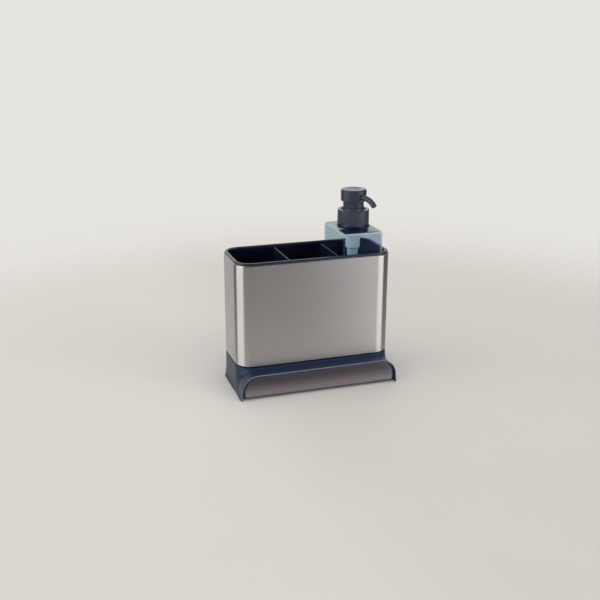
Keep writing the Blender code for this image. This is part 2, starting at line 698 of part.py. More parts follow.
def pump_housing(finish, parent):
    """The stepped cylinder: flange and mouth, air cylinder, liquid cylinder, tube socket."""
    wall = CYLINDER_WALL
    air, liquid = AIR_CYLINDER_RADIUS, LIQUID_CYLINDER_RADIUS
    top = FLANGE_BOTTOM + FLANGE_THICKNESS
    end = LIQUID_CYLINDER_END
    ball_room = BALL_RADIUS + 0.6 * MM
    socket, throat = 3.6 * MM, 1.5 * MM
    outside = [(NECK_RADIUS, top), (NECK_RADIUS, FLANGE_BOTTOM), (MOUTH_RADIUS, FLANGE_BOTTOM),
               (MOUTH_RADIUS, MOUTH_FLOOR), (MOUTH_RADIUS - 1.2 * MM, MOUTH_FLOOR - wall),
               (air + 1.0 * MM, MOUTH_FLOOR - wall), (air, MOUTH_FLOOR - wall - 1.5 * MM),
               (air, CYLINDER_STEP + 1.5 * MM), (air - 1.5 * MM, CYLINDER_STEP),
               (liquid, CYLINDER_STEP), (liquid - 0.3 * MM, end), (socket, end - 3.0 * MM),
               (socket, DIP_SOCKET_END)]
    inside = [(2.6 * MM, DIP_SOCKET_END), (2.6 * MM, end - 3.4 * MM), (throat, end - 3.4 * MM),
              (throat, end - 0.4 * MM), (ball_room, end + 1.5 * MM), (ball_room, SPRING_SEAT_Z),
              (liquid - wall, SPRING_SEAT_Z), (liquid - wall, CYLINDER_STEP + wall),
              (air - wall, CYLINDER_STEP + wall), (air - wall, MOUTH_FLOOR),
              (MOUTH_RADIUS - wall, MOUTH_FLOOR + 0.6 * MM), (MOUTH_RADIUS - wall, top)]
    return piece("pump_housing", turned("pump_housing", outside + inside, 32), finish, parent)


def dip_tube(finish, parent):
    outer, inner = 2.3 * MM, 1.5 * MM
    low = BOTTLE_BOTTOM + BOTTLE_WALL + 3.0 * MM
    high = LIQUID_CYLINDER_END - 3.4 * MM - GAP
    profile = [(inner, low), (outer, low), (outer, high), (inner, high)]
    return piece("dip_tube", turned("dip_tube", profile, 16), finish, parent)


def valve_ball(finish, parent):
    centre = BALL_SEAT_Z
    profile = [(0.0, centre - BALL_RADIUS)]
    profile += arc(0.0, centre, BALL_RADIUS, -90, 90, 8)[1:-1]
    profile.append((0.0, centre + BALL_RADIUS))
    return piece("valve_ball", turned("valve_ball", profile, 16, False), finish, parent)


def pump_stem(finish, parent):
    """The hollow stem with the flared liquid piston at its foot."""
    skirt = LIQUID_CYLINDER_RADIUS - CYLINDER_WALL - GAP
    foot = LIQUID_PISTON_Z
    profile = [(STEM_BORE, foot), (skirt, foot), (skirt, foot + 4.0 * MM),
               (STEM_RADIUS, foot + 6.0 * MM), (STEM_RADIUS, STEM_TOP), (STEM_BORE, STEM_TOP)]
    return piece("pump_stem", turned("pump_stem", profile, 24), finish, parent)


def air_piston(finish, parent):
    """The cup that pushes air; it rides on the stem."""
    inner = STEM_RADIUS + GAP
    outer = AIR_CYLINDER_RADIUS - CYLINDER_WALL - GAP
    low = AIR_PISTON_Z
    profile = [(inner, low), (inner + 1.2 * MM, low), (inner + 1.2 * MM, low + 5.0 * MM),
               (outer - 1.1 * MM, low + 5.0 * MM), (outer, low + 1.0 * MM), (outer, low + 8.0 * MM),
               (outer - 1.0 * MM, low + 8.0 * MM), (outer - 1.0 * MM, low + 6.4 * MM),
               (inner + 1.2 * MM, low + 6.4 * MM), (inner + 1.2 * MM, low + 10.0 * MM),
               (inner, low + 10.0 * MM)]
    return piece("air_piston", turned("air_piston", profile, 24), finish, parent)


def spring_points():
    """Centre line of the return spring, closed up a little at both ends."""
    low = SPRING_SEAT_Z + GAP + SPRING_WIRE
    high = LIQUID_PISTON_Z - GAP - SPRING_WIRE
    count = SPRING_TURNS * SPRING_POINTS_PER_TURN
    points = []
    for i in range(count + 1):
        share = i / count
        turn = 2 * math.pi * SPRING_TURNS * share
        eased = share - 0.06 * math.sin(2 * math.pi * share) * 0.5
        points.append(Vector((SPRING_RADIUS * math.cos(turn), SPRING_RADIUS * math.sin(turn),
                              low + (high - low) * eased)))
    return points


def return_spring(finish, parent):
    points = spring_points()
    turn = SPRING_POINTS_PER_TURN
    closest = min((points[i + turn] - points[i]).length for i in range(len(points) - turn))
    print(f"return_spring: least gap to itself {(closest - 2 * SPRING_WIRE) / MM:.2f} mm")
    curve = bpy.data.curves.new("return_spring", "CURVE")
    curve.dimensions = "3D"
    curve.bevel_depth = SPRING_WIRE
    curve.bevel_resolution = 1
    curve.use_fill_caps = True
    line = curve.splines.new("POLY")
    line.points.add(len(points) - 1)
    for target, point in zip(line.points, points):
        target.co = (*point, 1.0)
    return piece("return_spring", curve, finish, parent)


def foam_mesh(finish, parent):
    """The short cartridge that holds the foaming screens, above the stem."""
    low = STEM_TOP + GAP
    outer = 3.6 * MM
    profile = [(1.9 * MM, low), (outer, low), (outer, low + 4.2 * MM), (1.9 * MM, low + 4.2 * MM)]
    return piece("foam_mesh", turned("foam_mesh", profile, 20), finish, parent)


def spout_tool(name, root_radius, tip_radius, root, overrun, sides):
    """A tapering tube that runs straight out from the socket, then along the spout's curve."""
    route = [Vector((r * math.cos(SPOUT_AZIMUTH), r * math.sin(SPOUT_AZIMUTH), z))
             for r, z in SPOUT_ROUTE]
    across = Vector((-math.sin(SPOUT_AZIMUTH), math.cos(SPOUT_AZIMUTH), 0.0))
    outward = Vector((math.cos(SPOUT_AZIMUTH), math.sin(SPOUT_AZIMUTH), 0.0))
    stations = [(outward * root + Vector((0.0, 0.0, SPOUT_ROUTE[0][1])), outward, root_radius)]
    steps = 8
    for i in range(1, steps + 1):
        share = i / steps
        ahead = (bezier(*route, share + 0.01) - bezier(*route, share - 0.01)).normalized()
        radius = root_radius + (tip_radius - root_radius) * share
        stations.append((bezier(*route, share), ahead, radius))
    last, ahead, radius = stations[-1]
    stations[-1] = (last + ahead * overrun, ahead, radius)
    rings = []
    for here, ahead, radius in stations:
        up = ahead.cross(across)
        turns = [2 * math.pi * (k + 0.5) / sides for k in range(sides)]
        rings.append([here + across * (radius * math.cos(a)) + up * (radius * math.sin(a))
                      for a in turns])
    return loft(name, rings)


def actuator_head(finish, parent):
    """Press head: dished cap, plunger that slides in the collar, stem socket, bent spout."""
    roof = HEAD_TOP - 3.3 * MM
    ceiling = SPOUT_ROUTE[0][1] + SPOUT_BORE + 0.3 * MM
    socket_out, socket_in = 5.4 * MM, STEM_RADIUS + 0.5 * MM
    socket_low = 250.5 * MM
    step = HEAD_BOTTOM + 1.2 * MM
    profile = [(socket_in, socket_low), (socket_out, socket_low), (socket_out, roof),
               (PLUNGER_BORE, roof), (PLUNGER_BORE, PLUNGER_BOTTOM),
               (PLUNGER_RADIUS, PLUNGER_BOTTOM), (PLUNGER_RADIUS, step),
               (HEAD_RADIUS - 1.8 * MM, step), (HEAD_RADIUS - 1.4 * MM, HEAD_BOTTOM),
               (HEAD_RADIUS - 0.6 * MM, HEAD_BOTTOM), (HEAD_RADIUS, HEAD_BOTTOM + 0.6 * MM),
               (HEAD_RADIUS, HEAD_TOP - HEAD_EDGE)]
    profile += arc(HEAD_RADIUS - HEAD_EDGE, HEAD_TOP - HEAD_EDGE, HEAD_EDGE, 0, 90, 4)[1:]
    profile += [(DISH_RADIUS, HEAD_TOP), (DISH_RADIUS * 0.75, HEAD_TOP - DISH_DEPTH * 0.6),
                (DISH_RADIUS * 0.4, HEAD_TOP - DISH_DEPTH * 0.92), (0.0, HEAD_TOP - DISH_DEPTH)]
    profile += [(0.0, ceiling), (socket_in, ceiling)]
    head = piece("actuator_head", turned_shell("actuator_head", profile), finish, parent)
    tube = spout_tool("spout_tube", SPOUT_ROOT_RADIUS, SPOUT_TIP_RADIUS, socket_in + 0.7 * MM,
                      0.0, 16)
    boolean(head, piece("spout_tube", tube, None, parent), "UNION")
    bore = spout_tool("spout_bore", SPOUT_BORE, SPOUT_BORE, 1.0 * MM, 1.0 * MM, 10)
    boolean(head, piece("spout_bore", bore, None, parent), "DIFFERENCE")
    return head


def turned_shell(name, profile):
    """A lathe shape whose profile touches the axis twice, once outside, once inside."""
    poles = [i for i, (radius, _) in enumerate(profile) if radius == 0.0]
    start = poles[1]
    ordered = profile[start:] + profile[:poles[0] + 1]
    return turned(name, ordered, ROUND_STEPS, False)


def main():
    clear_scene()
    navy = material("base_plastic", (0.022, 0.032, 0.055), 0.38)
    steel = material("brushed_steel", (0.42, 0.41, 0.40), 0.32, 1.0)
    bin_plastic = material("bin_plastic", (0.012, 0.014, 0.022), 0.35)
    rubber = material("foot_rubber", (0.02, 0.02, 0.02), 0.8)
    zinc = material("screw_zinc", (0.55, 0.55, 0.56), 0.35, 1.0)
    smoke = material("bottle_smoke", (0.34, 0.45, 0.50), 0.12)
    gloss = material("pump_plastic", (0.035, 0.035, 0.05), 0.25)
    milk = material("pump_milk", (0.55, 0.66, 0.70), 0.4)
    spring_steel = material("spring_steel", (0.6, 0.6, 0.6), 0.3, 1.0)

    holder = empty("holder", (0.0, SLEEVE_Y, 0.0))
    tray_rail = empty("tray_rail", (0.0, 0.0, 0.0))
    dispenser = empty("dispenser", (DISPENSER_X, SLEEVE_Y, 0.0))

    base_frame(navy)
    foot_pads(rubber)
    deck_screws(zinc)
    steel_sleeve(steel, holder)
    inner_bin(bin_plastic, holder)
    dividers(bin_plastic)
    drip_tray(bin_plastic, tray_rail)
    tray_front(steel, tray_rail)
    bottle(smoke, dispenser)
    neck_ring(gloss, dispenser)
    closure_collar(gloss, dispenser)
    neck_gasket(rubber, dispenser)
    pump_housing(milk, dispenser)
    dip_tube(milk, dispenser)
    valve_ball(spring_steel, dispenser)
    pump_stem(milk, dispenser)
    air_piston(milk, dispenser)
    return_spring(spring_steel, dispenser)
    foam_mesh(milk, dispenser)
    actuator_head(gloss, dispenser)


main()
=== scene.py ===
# %% [markdown]
# # A sink organizer, piece by piece
# The real object stands beside a kitchen sink. A band of brushed steel wraps a dark
# plastic bin with three cells. The bin stands on an arched plastic base with a drip
# tray in it, and a square foaming soap dispenser stands in the right-hand cell.
# The engineering model is already packed as bodies and joints. This lesson dresses
# it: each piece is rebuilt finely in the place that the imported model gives, gets a
# finish made of shader nodes, and then rides on the body that it belongs to.

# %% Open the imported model
import json
import math
import bmesh
import bpy
from mathutils import Matrix, Vector

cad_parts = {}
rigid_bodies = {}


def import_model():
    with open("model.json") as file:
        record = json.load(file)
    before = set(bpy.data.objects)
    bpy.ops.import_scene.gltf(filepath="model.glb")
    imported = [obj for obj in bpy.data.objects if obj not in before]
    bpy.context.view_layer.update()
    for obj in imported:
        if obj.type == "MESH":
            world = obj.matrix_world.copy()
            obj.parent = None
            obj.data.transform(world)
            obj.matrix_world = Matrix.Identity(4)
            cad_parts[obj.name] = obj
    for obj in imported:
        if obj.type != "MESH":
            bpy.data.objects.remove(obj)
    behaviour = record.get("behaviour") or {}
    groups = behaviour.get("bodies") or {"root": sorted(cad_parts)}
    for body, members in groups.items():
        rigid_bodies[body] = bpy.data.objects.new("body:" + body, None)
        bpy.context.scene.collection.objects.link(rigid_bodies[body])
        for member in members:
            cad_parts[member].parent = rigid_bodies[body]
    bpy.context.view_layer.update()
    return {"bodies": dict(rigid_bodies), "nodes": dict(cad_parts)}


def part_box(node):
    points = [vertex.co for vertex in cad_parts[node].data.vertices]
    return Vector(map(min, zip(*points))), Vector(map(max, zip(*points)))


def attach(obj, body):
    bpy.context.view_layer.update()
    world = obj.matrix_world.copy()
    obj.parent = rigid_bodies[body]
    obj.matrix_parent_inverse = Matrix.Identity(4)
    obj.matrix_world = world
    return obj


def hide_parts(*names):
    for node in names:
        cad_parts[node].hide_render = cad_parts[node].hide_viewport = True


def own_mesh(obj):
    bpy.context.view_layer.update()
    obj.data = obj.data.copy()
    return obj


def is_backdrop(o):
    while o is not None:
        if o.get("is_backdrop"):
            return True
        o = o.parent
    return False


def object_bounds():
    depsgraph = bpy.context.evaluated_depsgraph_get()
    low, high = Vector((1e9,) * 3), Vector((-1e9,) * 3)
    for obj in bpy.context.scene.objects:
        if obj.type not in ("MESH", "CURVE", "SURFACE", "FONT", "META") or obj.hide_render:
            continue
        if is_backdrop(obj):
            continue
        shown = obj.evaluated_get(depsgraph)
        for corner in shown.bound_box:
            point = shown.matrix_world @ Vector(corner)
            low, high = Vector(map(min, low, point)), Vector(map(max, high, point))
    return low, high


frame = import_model()

# %% [markdown]
# ## Sizes
# Every size here is a distance on the object in metres. The big ones are read from
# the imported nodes, so a piece always sits where its node does. The small ones, such
# as a corner's radius, are written down as a maker would write them on a drawing.

# %% Read the big sizes, write down the small ones
MM = 0.001
FULL_TURN = 2 * math.pi
GAP = 0.3 * MM
sleeve_low, sleeve_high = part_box("steel_sleeve")
base_low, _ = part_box("base_frame")
bin_low, bin_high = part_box("inner_bin")
bottle_low, bottle_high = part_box("bottle")
ring_low, ring_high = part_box("neck_ring")
collar_low, collar_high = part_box("closure_collar")
_, head_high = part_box("actuator_head")
HALF_LENGTH = (sleeve_high.x - sleeve_low.x) / 2
HALF_DEPTH = (sleeve_high.y - sleeve_low.y) / 2
MIDDLE_Y = (sleeve_high.y + sleeve_low.y) / 2
CORNER = 24.3 * MM
CELL_PITCH = 72.4 * MM
SHOULDER = ring_low.z - GAP
BOTTLE_HALF_X = (bottle_high.x - bottle_low.x) / 2
BOTTLE_HALF_Y = (bottle_high.y - bottle_low.y) / 2
AXIS = Vector(((collar_low.x + collar_high.x) / 2, (collar_low.y + collar_high.y) / 2, 0))
print("steel band", round(HALF_LENGTH * 2000, 1), "x", round(HALF_DEPTH * 2000, 1),
      "mm, dispenser axis at", [round(v * 1000, 1) for v in AXIS])

# %% [markdown]
# ## Building nodes as if they were sums
# Shader nodes and geometry nodes share their maths nodes. Wiring them by hand is slow
# to read, so a small class wraps a socket and lets Python's own operators add the
# Math nodes: `1 - mask * 0.5` becomes two nodes. One method makes any other node.

# %% A socket that understands arithmetic
class Value:
    """A number that changes over a surface or along a path."""

    def __init__(self, wiring, socket):
        self.wiring, self.socket = wiring, socket

    def math(self, operation, *others):
        return self.wiring.sum(operation, self, *others)

    def __add__(self, other):
        return self.math("ADD", other)

    def __sub__(self, other):
        return self.math("SUBTRACT", other)

    def __rsub__(self, other):
        return self.wiring.sum("SUBTRACT", other, self)

    def __neg__(self):
        return 0 - self

    def __abs__(self):
        return self.math("ABSOLUTE")

    def __mul__(self, other):
        return self.math("MULTIPLY", other)

    def __truediv__(self, other):
        return self.math("DIVIDE", other)

    def __pow__(self, other):
        return self.math("POWER", other)

    def between(self, low, high):
        """0 below low, 1 above high, and a smooth step in the middle."""
        made = self.wiring.node("ShaderNodeMapRange", {"interpolation_type": "SMOOTHSTEP"},
                                {"Value": self, "From Min": low, "From Max": high})
        return Value(self.wiring, made.outputs[0])

    def within(self, low, rise, high, fall):
        """Rises from 0 to 1 just after low, and falls back to 0 just after high."""
        return self.between(low, low + rise) * (1 - self.between(high, high + fall))

    __radd__, __rmul__ = __add__, __mul__


print("value helper ready")


# %% A node tree that takes any node
class Wiring:
    """A node tree, with one method that adds any node to it."""

    def __init__(self, tree):
        self.tree = tree

    def node(self, kind, settings=None, sockets=None):
        made = self.tree.nodes.new(kind)
        for name, setting in (settings or {}).items():
            if name == "stops":
                ramp = made.color_ramp.elements
                while len(ramp) < len(setting):
                    ramp.new(0.5)
                for stop, (place, colour) in zip(ramp, setting):
                    stop.position, stop.color = place, (*colour, 1.0)
            else:
                setattr(made, name, setting)
        for name, value in (sockets or {}).items():
            self.join(made.inputs[name], value)
        return made

    def join(self, socket, value):
        if isinstance(value, Value):
            value = value.socket
        if isinstance(value, bpy.types.NodeSocket):
            self.tree.links.new(value, socket)
        elif socket.type == "RGBA":
            socket.default_value = (*value, 1.0)
        else:
            socket.default_value = value

    def sum(self, operation, *terms):
        made = self.node("ShaderNodeMath", {"operation": operation}, dict(enumerate(terms)))
        return Value(self, made.outputs[0])

    def split(self, vector):
        axes = self.node("ShaderNodeSeparateXYZ", sockets={0: vector})
        return [Value(self, axes.outputs[i]) for i in range(3)]

    def blend(self, factor, first, second):
        """A colour between two others."""
        made = self.node("ShaderNodeMix", {"data_type": "RGBA"},
                         {0: factor, 6: first, 7: second})
        return made.outputs[2]


print("wiring helper ready")

# %% [markdown]
# ## Finishes
# A finish is one Principled shader whose colour, roughness and relief vary a little,
# because real plastic and steel are never one flat value. The pattern is read from
# Object coordinates, so it stays put when a piece moves. Numbers that are the same all
# over, such as how much a brushed surface stretches its highlights, are set on the
# shader itself. Some colours also carry painted light and shade, and each one says so
# where it is made.

# %% A material with its own helpers
class Finish(Wiring):
    def __init__(self, name, **constants):
        self.material = bpy.data.materials.new(name)
        self.material.use_nodes = True
        super().__init__(self.material.node_tree)
        self.shader = self.tree.nodes["Principled BSDF"]
        for socket, value in constants.items():
            self.vary(socket.replace("_", " "), value)
        self.place = self.node("ShaderNodeTexCoord").outputs["Object"]
        self.x, self.y, self.z = self.split(self.place)

    def vary(self, socket, value):
        self.join(self.shader.inputs[socket], value)

    def noise(self, per_metre, detail=2.0, rough=0.5):
        """Noise from 0 to 1; per_metre is its scale along X, Y and Z."""
        stretched = self.node("ShaderNodeMapping", sockets={"Vector": self.place,
                                                            "Scale": per_metre})
        made = self.node("ShaderNodeTexNoise", sockets={
            "Vector": stretched.outputs[0], "Scale": 1.0, "Detail": detail,
            "Roughness": rough})
        return Value(self, made.outputs["Fac"])

    def colour(self, factor, first, second):
        """Paints the surface between two colours."""
        mixed = self.blend(factor, first, second)
        self.vary("Base Color", mixed)
        return mixed

    def relief(self, height, depth, strength=1.0):
        """Bumps as deep as depth metres, where height goes from 0 to 1."""
        made = self.node("ShaderNodeBump", sockets={
            "Height": height, "Distance": depth, "Strength": strength})
        self.vary("Normal", made.outputs[0])

    def either(self, factor, first, second):
        """Turns one shader into another as factor goes from 0 to 1, and shows the result."""
        made = self.node("ShaderNodeMixShader", sockets={
            0: factor, 1: first.outputs[0], 2: second.outputs[0]})
        self.join(self.tree.nodes["Material Output"].inputs["Surface"], made.outputs[0])
        return made


print("finish helper ready")

# %% [markdown]
# ### Brushed steel
# The band was brushed along its length before it was bent, so its scratches run
# horizontally and its highlights smear upright. The scratches are noise, two to three
# hundred times longer than it is high. The smear is the shader's anisotropy, turned a
# quarter so that it works across the scratches.

# %% Brushed steel for the band and the drip tray's panel
def brushed(name, dark, light, rough, spread, painted_shade_span):
    """Brushed along X; the last argument is (bottom, top, share): painted shade that darkens the
    steel towards the top.
    """
    steel = Finish(name, Metallic=1.0, Anisotropic=spread, Anisotropic_Rotation=0.25)
    hairs = steel.noise((22, 22, 5200), 3.0, 0.6)
    bands = steel.noise((3, 3, 900), 2.0, 0.6)
    cloud = steel.noise((9, 9, 14), 2.0, 0.5)
    mark = hairs * 0.5 + bands * 0.3 + cloud * 0.2
    low, high, share = painted_shade_span
    # Painted shade: the colour darkens towards the top of the span.
    fall = (1 - (steel.z - low) / (high - low)).between(0.0, 1.0) ** 1.6
    steel.colour(mark * (1 - share) + fall * share, dark, light)
    steel.vary("Roughness", rough + (bands - 0.5) * 0.03 + (cloud - 0.5) * 0.02)
    steel.relief(hairs * 0.8 + bands * 0.2, 0.003 * MM, 0.3)
    return steel.material


# Both steels carry painted shade, darker towards their tops; the tray's panel under the arch takes
# most of it.
STEEL = brushed("brushed_band", (0.355, 0.342, 0.344), (0.53, 0.512, 0.508), 0.26, 1.0,
                (sleeve_low.z, sleeve_high.z, 0.5))
PANEL_STEEL = brushed("brushed_panel", (0.068, 0.057, 0.072), (0.33, 0.295, 0.33), 0.34, 0.6,
                      (4.4 * MM, 32.4 * MM, 0.85))
print("steel finishes:", STEEL.name, PANEL_STEEL.name)

# %% [markdown]
# ### Moulded plastics
# The base is satin navy, the bin nearly black, the pump slate. All are mouldings: a
# fine sparked grain from the tool breaks up their shine, and slow clouds in colour and
# One function makes them all, with a coarser or finer grain. It has two options.
# One is another colour beyond a line, which paints light and shade: painted shade in
# the groove under the steel, painted light on the bin's rim, and painted shade down the
# right leg of the arch's lip. The other is a glossy zone, for the polished tops of the
# collar and the press head.

# %% Satin and glossy mouldings
def moulded(name, dark, light, rough, grain_depth, grain_per_metre, painted_zone=None, polish=None,
            **constants):
    """Mottled; the fifth argument is (axis, start, end, colour), another colour painted beyond a
    line as light or shade; polish is (bottom, top, coat elsewhere).
    """
    plastic = Finish(name, **constants)
    grain = plastic.noise((grain_per_metre,) * 3, 2.0, 0.6)
    flow = plastic.noise((14, 14, 22), 3.0, 0.55)
    body = plastic.colour(flow.between(0.3, 0.7) * 0.8 + grain * 0.2, dark, light)
    # Another colour beyond a line along one axis: painted light or shade.
    if painted_zone:
        axis, start, end, other = painted_zone
        plastic.colour(getattr(plastic, axis).between(start, end), body, other)
    if polish:
        bottom, top, dull = polish
        glossy = plastic.z.within(bottom, 0.02 * MM, top, 0.1 * MM)
        plastic.vary("Coat Weight", glossy * (1 - dull) + dull)
    plastic.vary("Roughness", rough + (flow - 0.5) * 0.12 + (grain - 0.5) * 0.06)
    plastic.relief(grain, grain_depth, 0.6)
    return plastic.material


COOL, COLDER, COLDEST = (0.70, 0.86, 1.0), (0.62, 0.80, 1.0), (0.60, 0.80, 1.0)
FINE_GRAIN, FINER_GRAIN = 1500, 2600
# Above a line just under the steel, the base's navy turns near-black: painted shade in the groove
# there.
NAVY = moulded(
    "base_navy", (0.009, 0.016, 0.042), (0.013, 0.022, 0.058), 0.34, 0.012 * MM, FINER_GRAIN,
    ("z", sleeve_low.z - 2.2 * MM, sleeve_low.z - 2.0 * MM, (0.0005, 0.001, 0.003)),
    Specular_Tint=COLDEST, Specular_IOR_Level=0.34)
# The arch's lip is painted lighter than the base, a painted highlight, and darker down the right
# leg, painted shade.
LIP_PAINTED_LIGHT = moulded(
    "base_lip", (0.13, 0.14, 0.18), (0.16, 0.175, 0.22), 0.30, 0.006 * MM, FINER_GRAIN,
    ("x", 104 * MM, 112 * MM, (0.016, 0.014, 0.036)), Specular_Tint=COOL)
# The tray's navy is lighter than the base's: painted light on its border in the arch's shade.
TRAY_PAINTED_LIGHT = moulded(
    "tray_navy", (0.024, 0.032, 0.058), (0.032, 0.041, 0.070), 0.34, 0.008 * MM, FINER_GRAIN,
    Specular_Tint=COOL)
# Above the steel, the bin's rim is painted lighter and bluer than the rest of the moulding: painted
# light.
BLACK = moulded(
    "bin_black", (0.002, 0.002, 0.006), (0.004, 0.004, 0.012), 0.22, 0.006 * MM, FINER_GRAIN,
    ("z", sleeve_high.z - 1.1 * MM, sleeve_high.z - 0.9 * MM, (0.004, 0.006, 0.016)),
    Specular_Tint=COLDER, Specular_IOR_Level=0.7)
DIVIDER_BLACK = moulded(
    "divider_black", (0.004, 0.007, 0.024), (0.007, 0.012, 0.036), 0.32, 0.010 * MM,
    FINER_GRAIN, Specular_Tint=COOL)
SLATE = moulded(
    "pump_slate", (0.034, 0.035, 0.053), (0.042, 0.043, 0.063), 0.38, 0.004 * MM, FINE_GRAIN,
    polish=(collar_high.z - 1.85 * MM, collar_high.z - 1.2 * MM, 0.0),
    Coat_IOR=2.2, Coat_Roughness=0.08, Specular_Tint=COOL, Specular_IOR_Level=0.32)
HEAD_SLATE = moulded(
    "head_slate", (0.027, 0.028, 0.045), (0.035, 0.036, 0.055), 0.24, 0.003 * MM, FINE_GRAIN,
    polish=(head_high.z + 0.97 * MM, 1.0, 0.2),
    Coat_IOR=1.25, Coat_Roughness=0.05, Specular_Tint=COOL, Specular_IOR_Level=0.30)
MILK = moulded(
    "milky_pump", (0.82, 0.90, 0.95), (0.88, 0.95, 0.99), 0.32, 0.004 * MM, 1200,
    Subsurface_Weight=0.35, Subsurface_Scale=0.004)
PITCH = moulded(
    "ring_pitch", (0.003, 0.003, 0.010), (0.006, 0.006, 0.018), 0.12, 0.003 * MM, FINE_GRAIN,
    Specular_Tint=COOL, Specular_IOR_Level=0.36)
RUBBER = moulded(
    "pad_rubber", (0.012, 0.012, 0.013), (0.022, 0.022, 0.023), 0.75, 0.04 * MM, 3800)
print("plastic finishes:", NAVY.name, BLACK.name, SLATE.name, MILK.name, RUBBER.name)

# %% [markdown]
# ### Small metal parts
# The screws are zinc plated, which is a cloudy, slightly blue metal. The spring and
# the valve ball are stainless, bright and smooth, with faint drawing marks.

# %% Plated and bright metal
def plated(name, dark, light, rough):
    metal = Finish(name, Metallic=1.0)
    cloud = metal.noise((900, 900, 900), 3.0, 0.6)
    marks = metal.noise((4000, 4000, 300), 2.0, 0.5)
    metal.colour(cloud, dark, light)
    metal.vary("Roughness", rough + (cloud - 0.5) * 0.2)
    metal.relief(marks, 0.01 * MM, 0.5)
    return metal.material


ZINC = plated("screw_zinc", (0.42, 0.43, 0.46), (0.60, 0.61, 0.63), 0.34)
BRIGHT = plated("spring_stainless", (0.52, 0.52, 0.51), (0.66, 0.65, 0.63), 0.22)
print("metal finishes:", ZINC.name, BRIGHT.name)

# %% [markdown]
# ### Smoky bottle plastic
# The bottle is a clear plastic with a little blue-grey dye, so it is a transmitting
# shader on hollow walls, with a clear coat for the shine. At its upright corners and
# along the crease under its shoulder a share of plain bluish paint is mixed in: partly
# the milkiness of thick plastic, and partly a painted highlight, strongest on the front
# right corner; a thin bluish haze, heavier on the right half, lies over it all. The flat
# top carries painted reflection and shade: dark round the black ring and the collar,
# less so to the right, and lighter at its left back corner. Lamps would leave the pump
# inside dark, because a lamp's ray stops at glass; those rays get a tinted see-through
# shader instead.

# %% See-through plastic
def smoky(name):
    clear = Finish(name, Transmission_Weight=1.0, IOR=1.01, Coat_IOR=1.5, Coat_Roughness=0.03)
    haze = clear.noise((26, 26, 18), 2.0, 0.5)
    across, back = clear.x - AXIS.x, clear.y - AXIS.y
    top = clear.z.within(SHOULDER - 1.1 * MM, 0.3 * MM, SHOULDER + 0.1 * MM, 0.2 * MM)
    # Painted reflection and shade on the flat top: dark round the ring and collar, less so to the
    # right, and lighter at the left back corner.
    painted_light_reflection = (-across).between(14 * MM, 22 * MM) * back.between(-15 * MM, -11 * MM) * top
    painted_dark_reflection = (top - painted_light_reflection) * (1 - across.between(11 * MM, 25 * MM) * 0.7)
    slant = clear.node("ShaderNodeLayerWeight", sockets={"Blend": 0.5}).outputs["Facing"]
    thick = Value(clear, slant).between(0.6, 1.0) * 0.6 + haze * 0.3
    tint = clear.colour(thick, (0.62, 0.70, 0.755), (0.535, 0.61, 0.675))
    tint = clear.colour(painted_dark_reflection, tint, (0.004, 0.005, 0.010))
    clear.colour(painted_light_reflection, tint, (0.78, 0.86, 0.86))
    clear.vary("Coat Weight", painted_dark_reflection * 0.85 + 0.15)
    clear.vary("Roughness", haze * 0.03 + 0.01)
    clear.relief(clear.noise((60, 60, 40), 1.0, 0.4), 0.02 * MM, 0.4)
    # Bluish paint at the upright corners and the crease under the shoulder: partly thick plastic's
    # milkiness, partly a painted highlight, strongest on the front right corner.
    corner = (abs(across).between(BOTTLE_HALF_X - 4.4 * MM, BOTTLE_HALF_X - 3.0 * MM)
              * abs(back).between(BOTTLE_HALF_Y - 4.4 * MM, BOTTLE_HALF_Y - 3.0 * MM))
    crease = clear.z.between(SHOULDER - 3.8 * MM, SHOULDER - 3.0 * MM) * (1 - top)
    front_right_highlight = across.between(-8 * MM, 8 * MM) * (1 - back.between(-8 * MM, 8 * MM))
    edge = (corner * (front_right_highlight * 0.85 + 0.15)).math("MAXIMUM", crease)
    veil = across.between(-6 * MM, 12 * MM) * 0.022 + 0.004
    haze_and_highlight = clear.node("ShaderNodeBsdfPrincipled", sockets={
        "Base Color": clear.blend(edge, (0.05, 0.13, 0.50), (0.40, 0.48, 0.54)),
        "Roughness": 0.3})
    wall = clear.either(edge * 0.45 + veil, clear.shader, haze_and_highlight)
    lamp_ray = clear.node("ShaderNodeLightPath").outputs["Is Shadow Ray"]
    film = clear.node("ShaderNodeBsdfTransparent", sockets={"Color": (0.88, 0.93, 0.95)})
    clear.either(lamp_ray, wall, film)
    return clear.material


SMOKE = smoky("bottle_smoke")
print("bottle finish:", SMOKE.name)

# %% [markdown]
# ## Shapes from rings
# Most mouldings here are skins stretched over rings of points: rounded rectangles for
# the tray and bottle, circles for the pump. Equal rings make clean quads, which shade
# smoothly. Edges get real fillets, because a sharp edge never catches the light.

# %% Rings, profiles and sections
def mm(points):
    """Points written in millimetres, in metres."""
    return [tuple(v * MM for v in point) for point in points]


def turns(start, end, steps):
    """Evenly spread angles, written in degrees, in radians."""
    return [math.radians(start + (end - start) * i / steps) for i in range(steps + 1)]


def rounded_outline(half_x, half_y, radius, steps=14, back_radius=None):
    """Points (x, y) round a rounded rectangle, anticlockwise from the front right."""
    points = []
    for side_x, side_y, start in ((1, -1, -90), (1, 1, 0), (-1, 1, 90), (-1, -1, 180)):
        r = (back_radius or radius) if side_y > 0 else radius
        points += arc(side_x * (half_x - r), side_y * (half_y - r), r, start, start + 90, steps)
    return points


def arc(centre_u, centre_v, radius, start, end, steps):
    """Points of an arc in a flat profile, in degrees from +u towards +v."""
    return [(centre_u + radius * math.cos(a), centre_v + radius * math.sin(a))
            for a in turns(start, end, steps)]


def level(points, middle_x, middle_y, height):
    """Flat points laid out level, round a middle and at a height."""
    return [Vector((middle_x + x, middle_y + y, height)) for x, y in points]


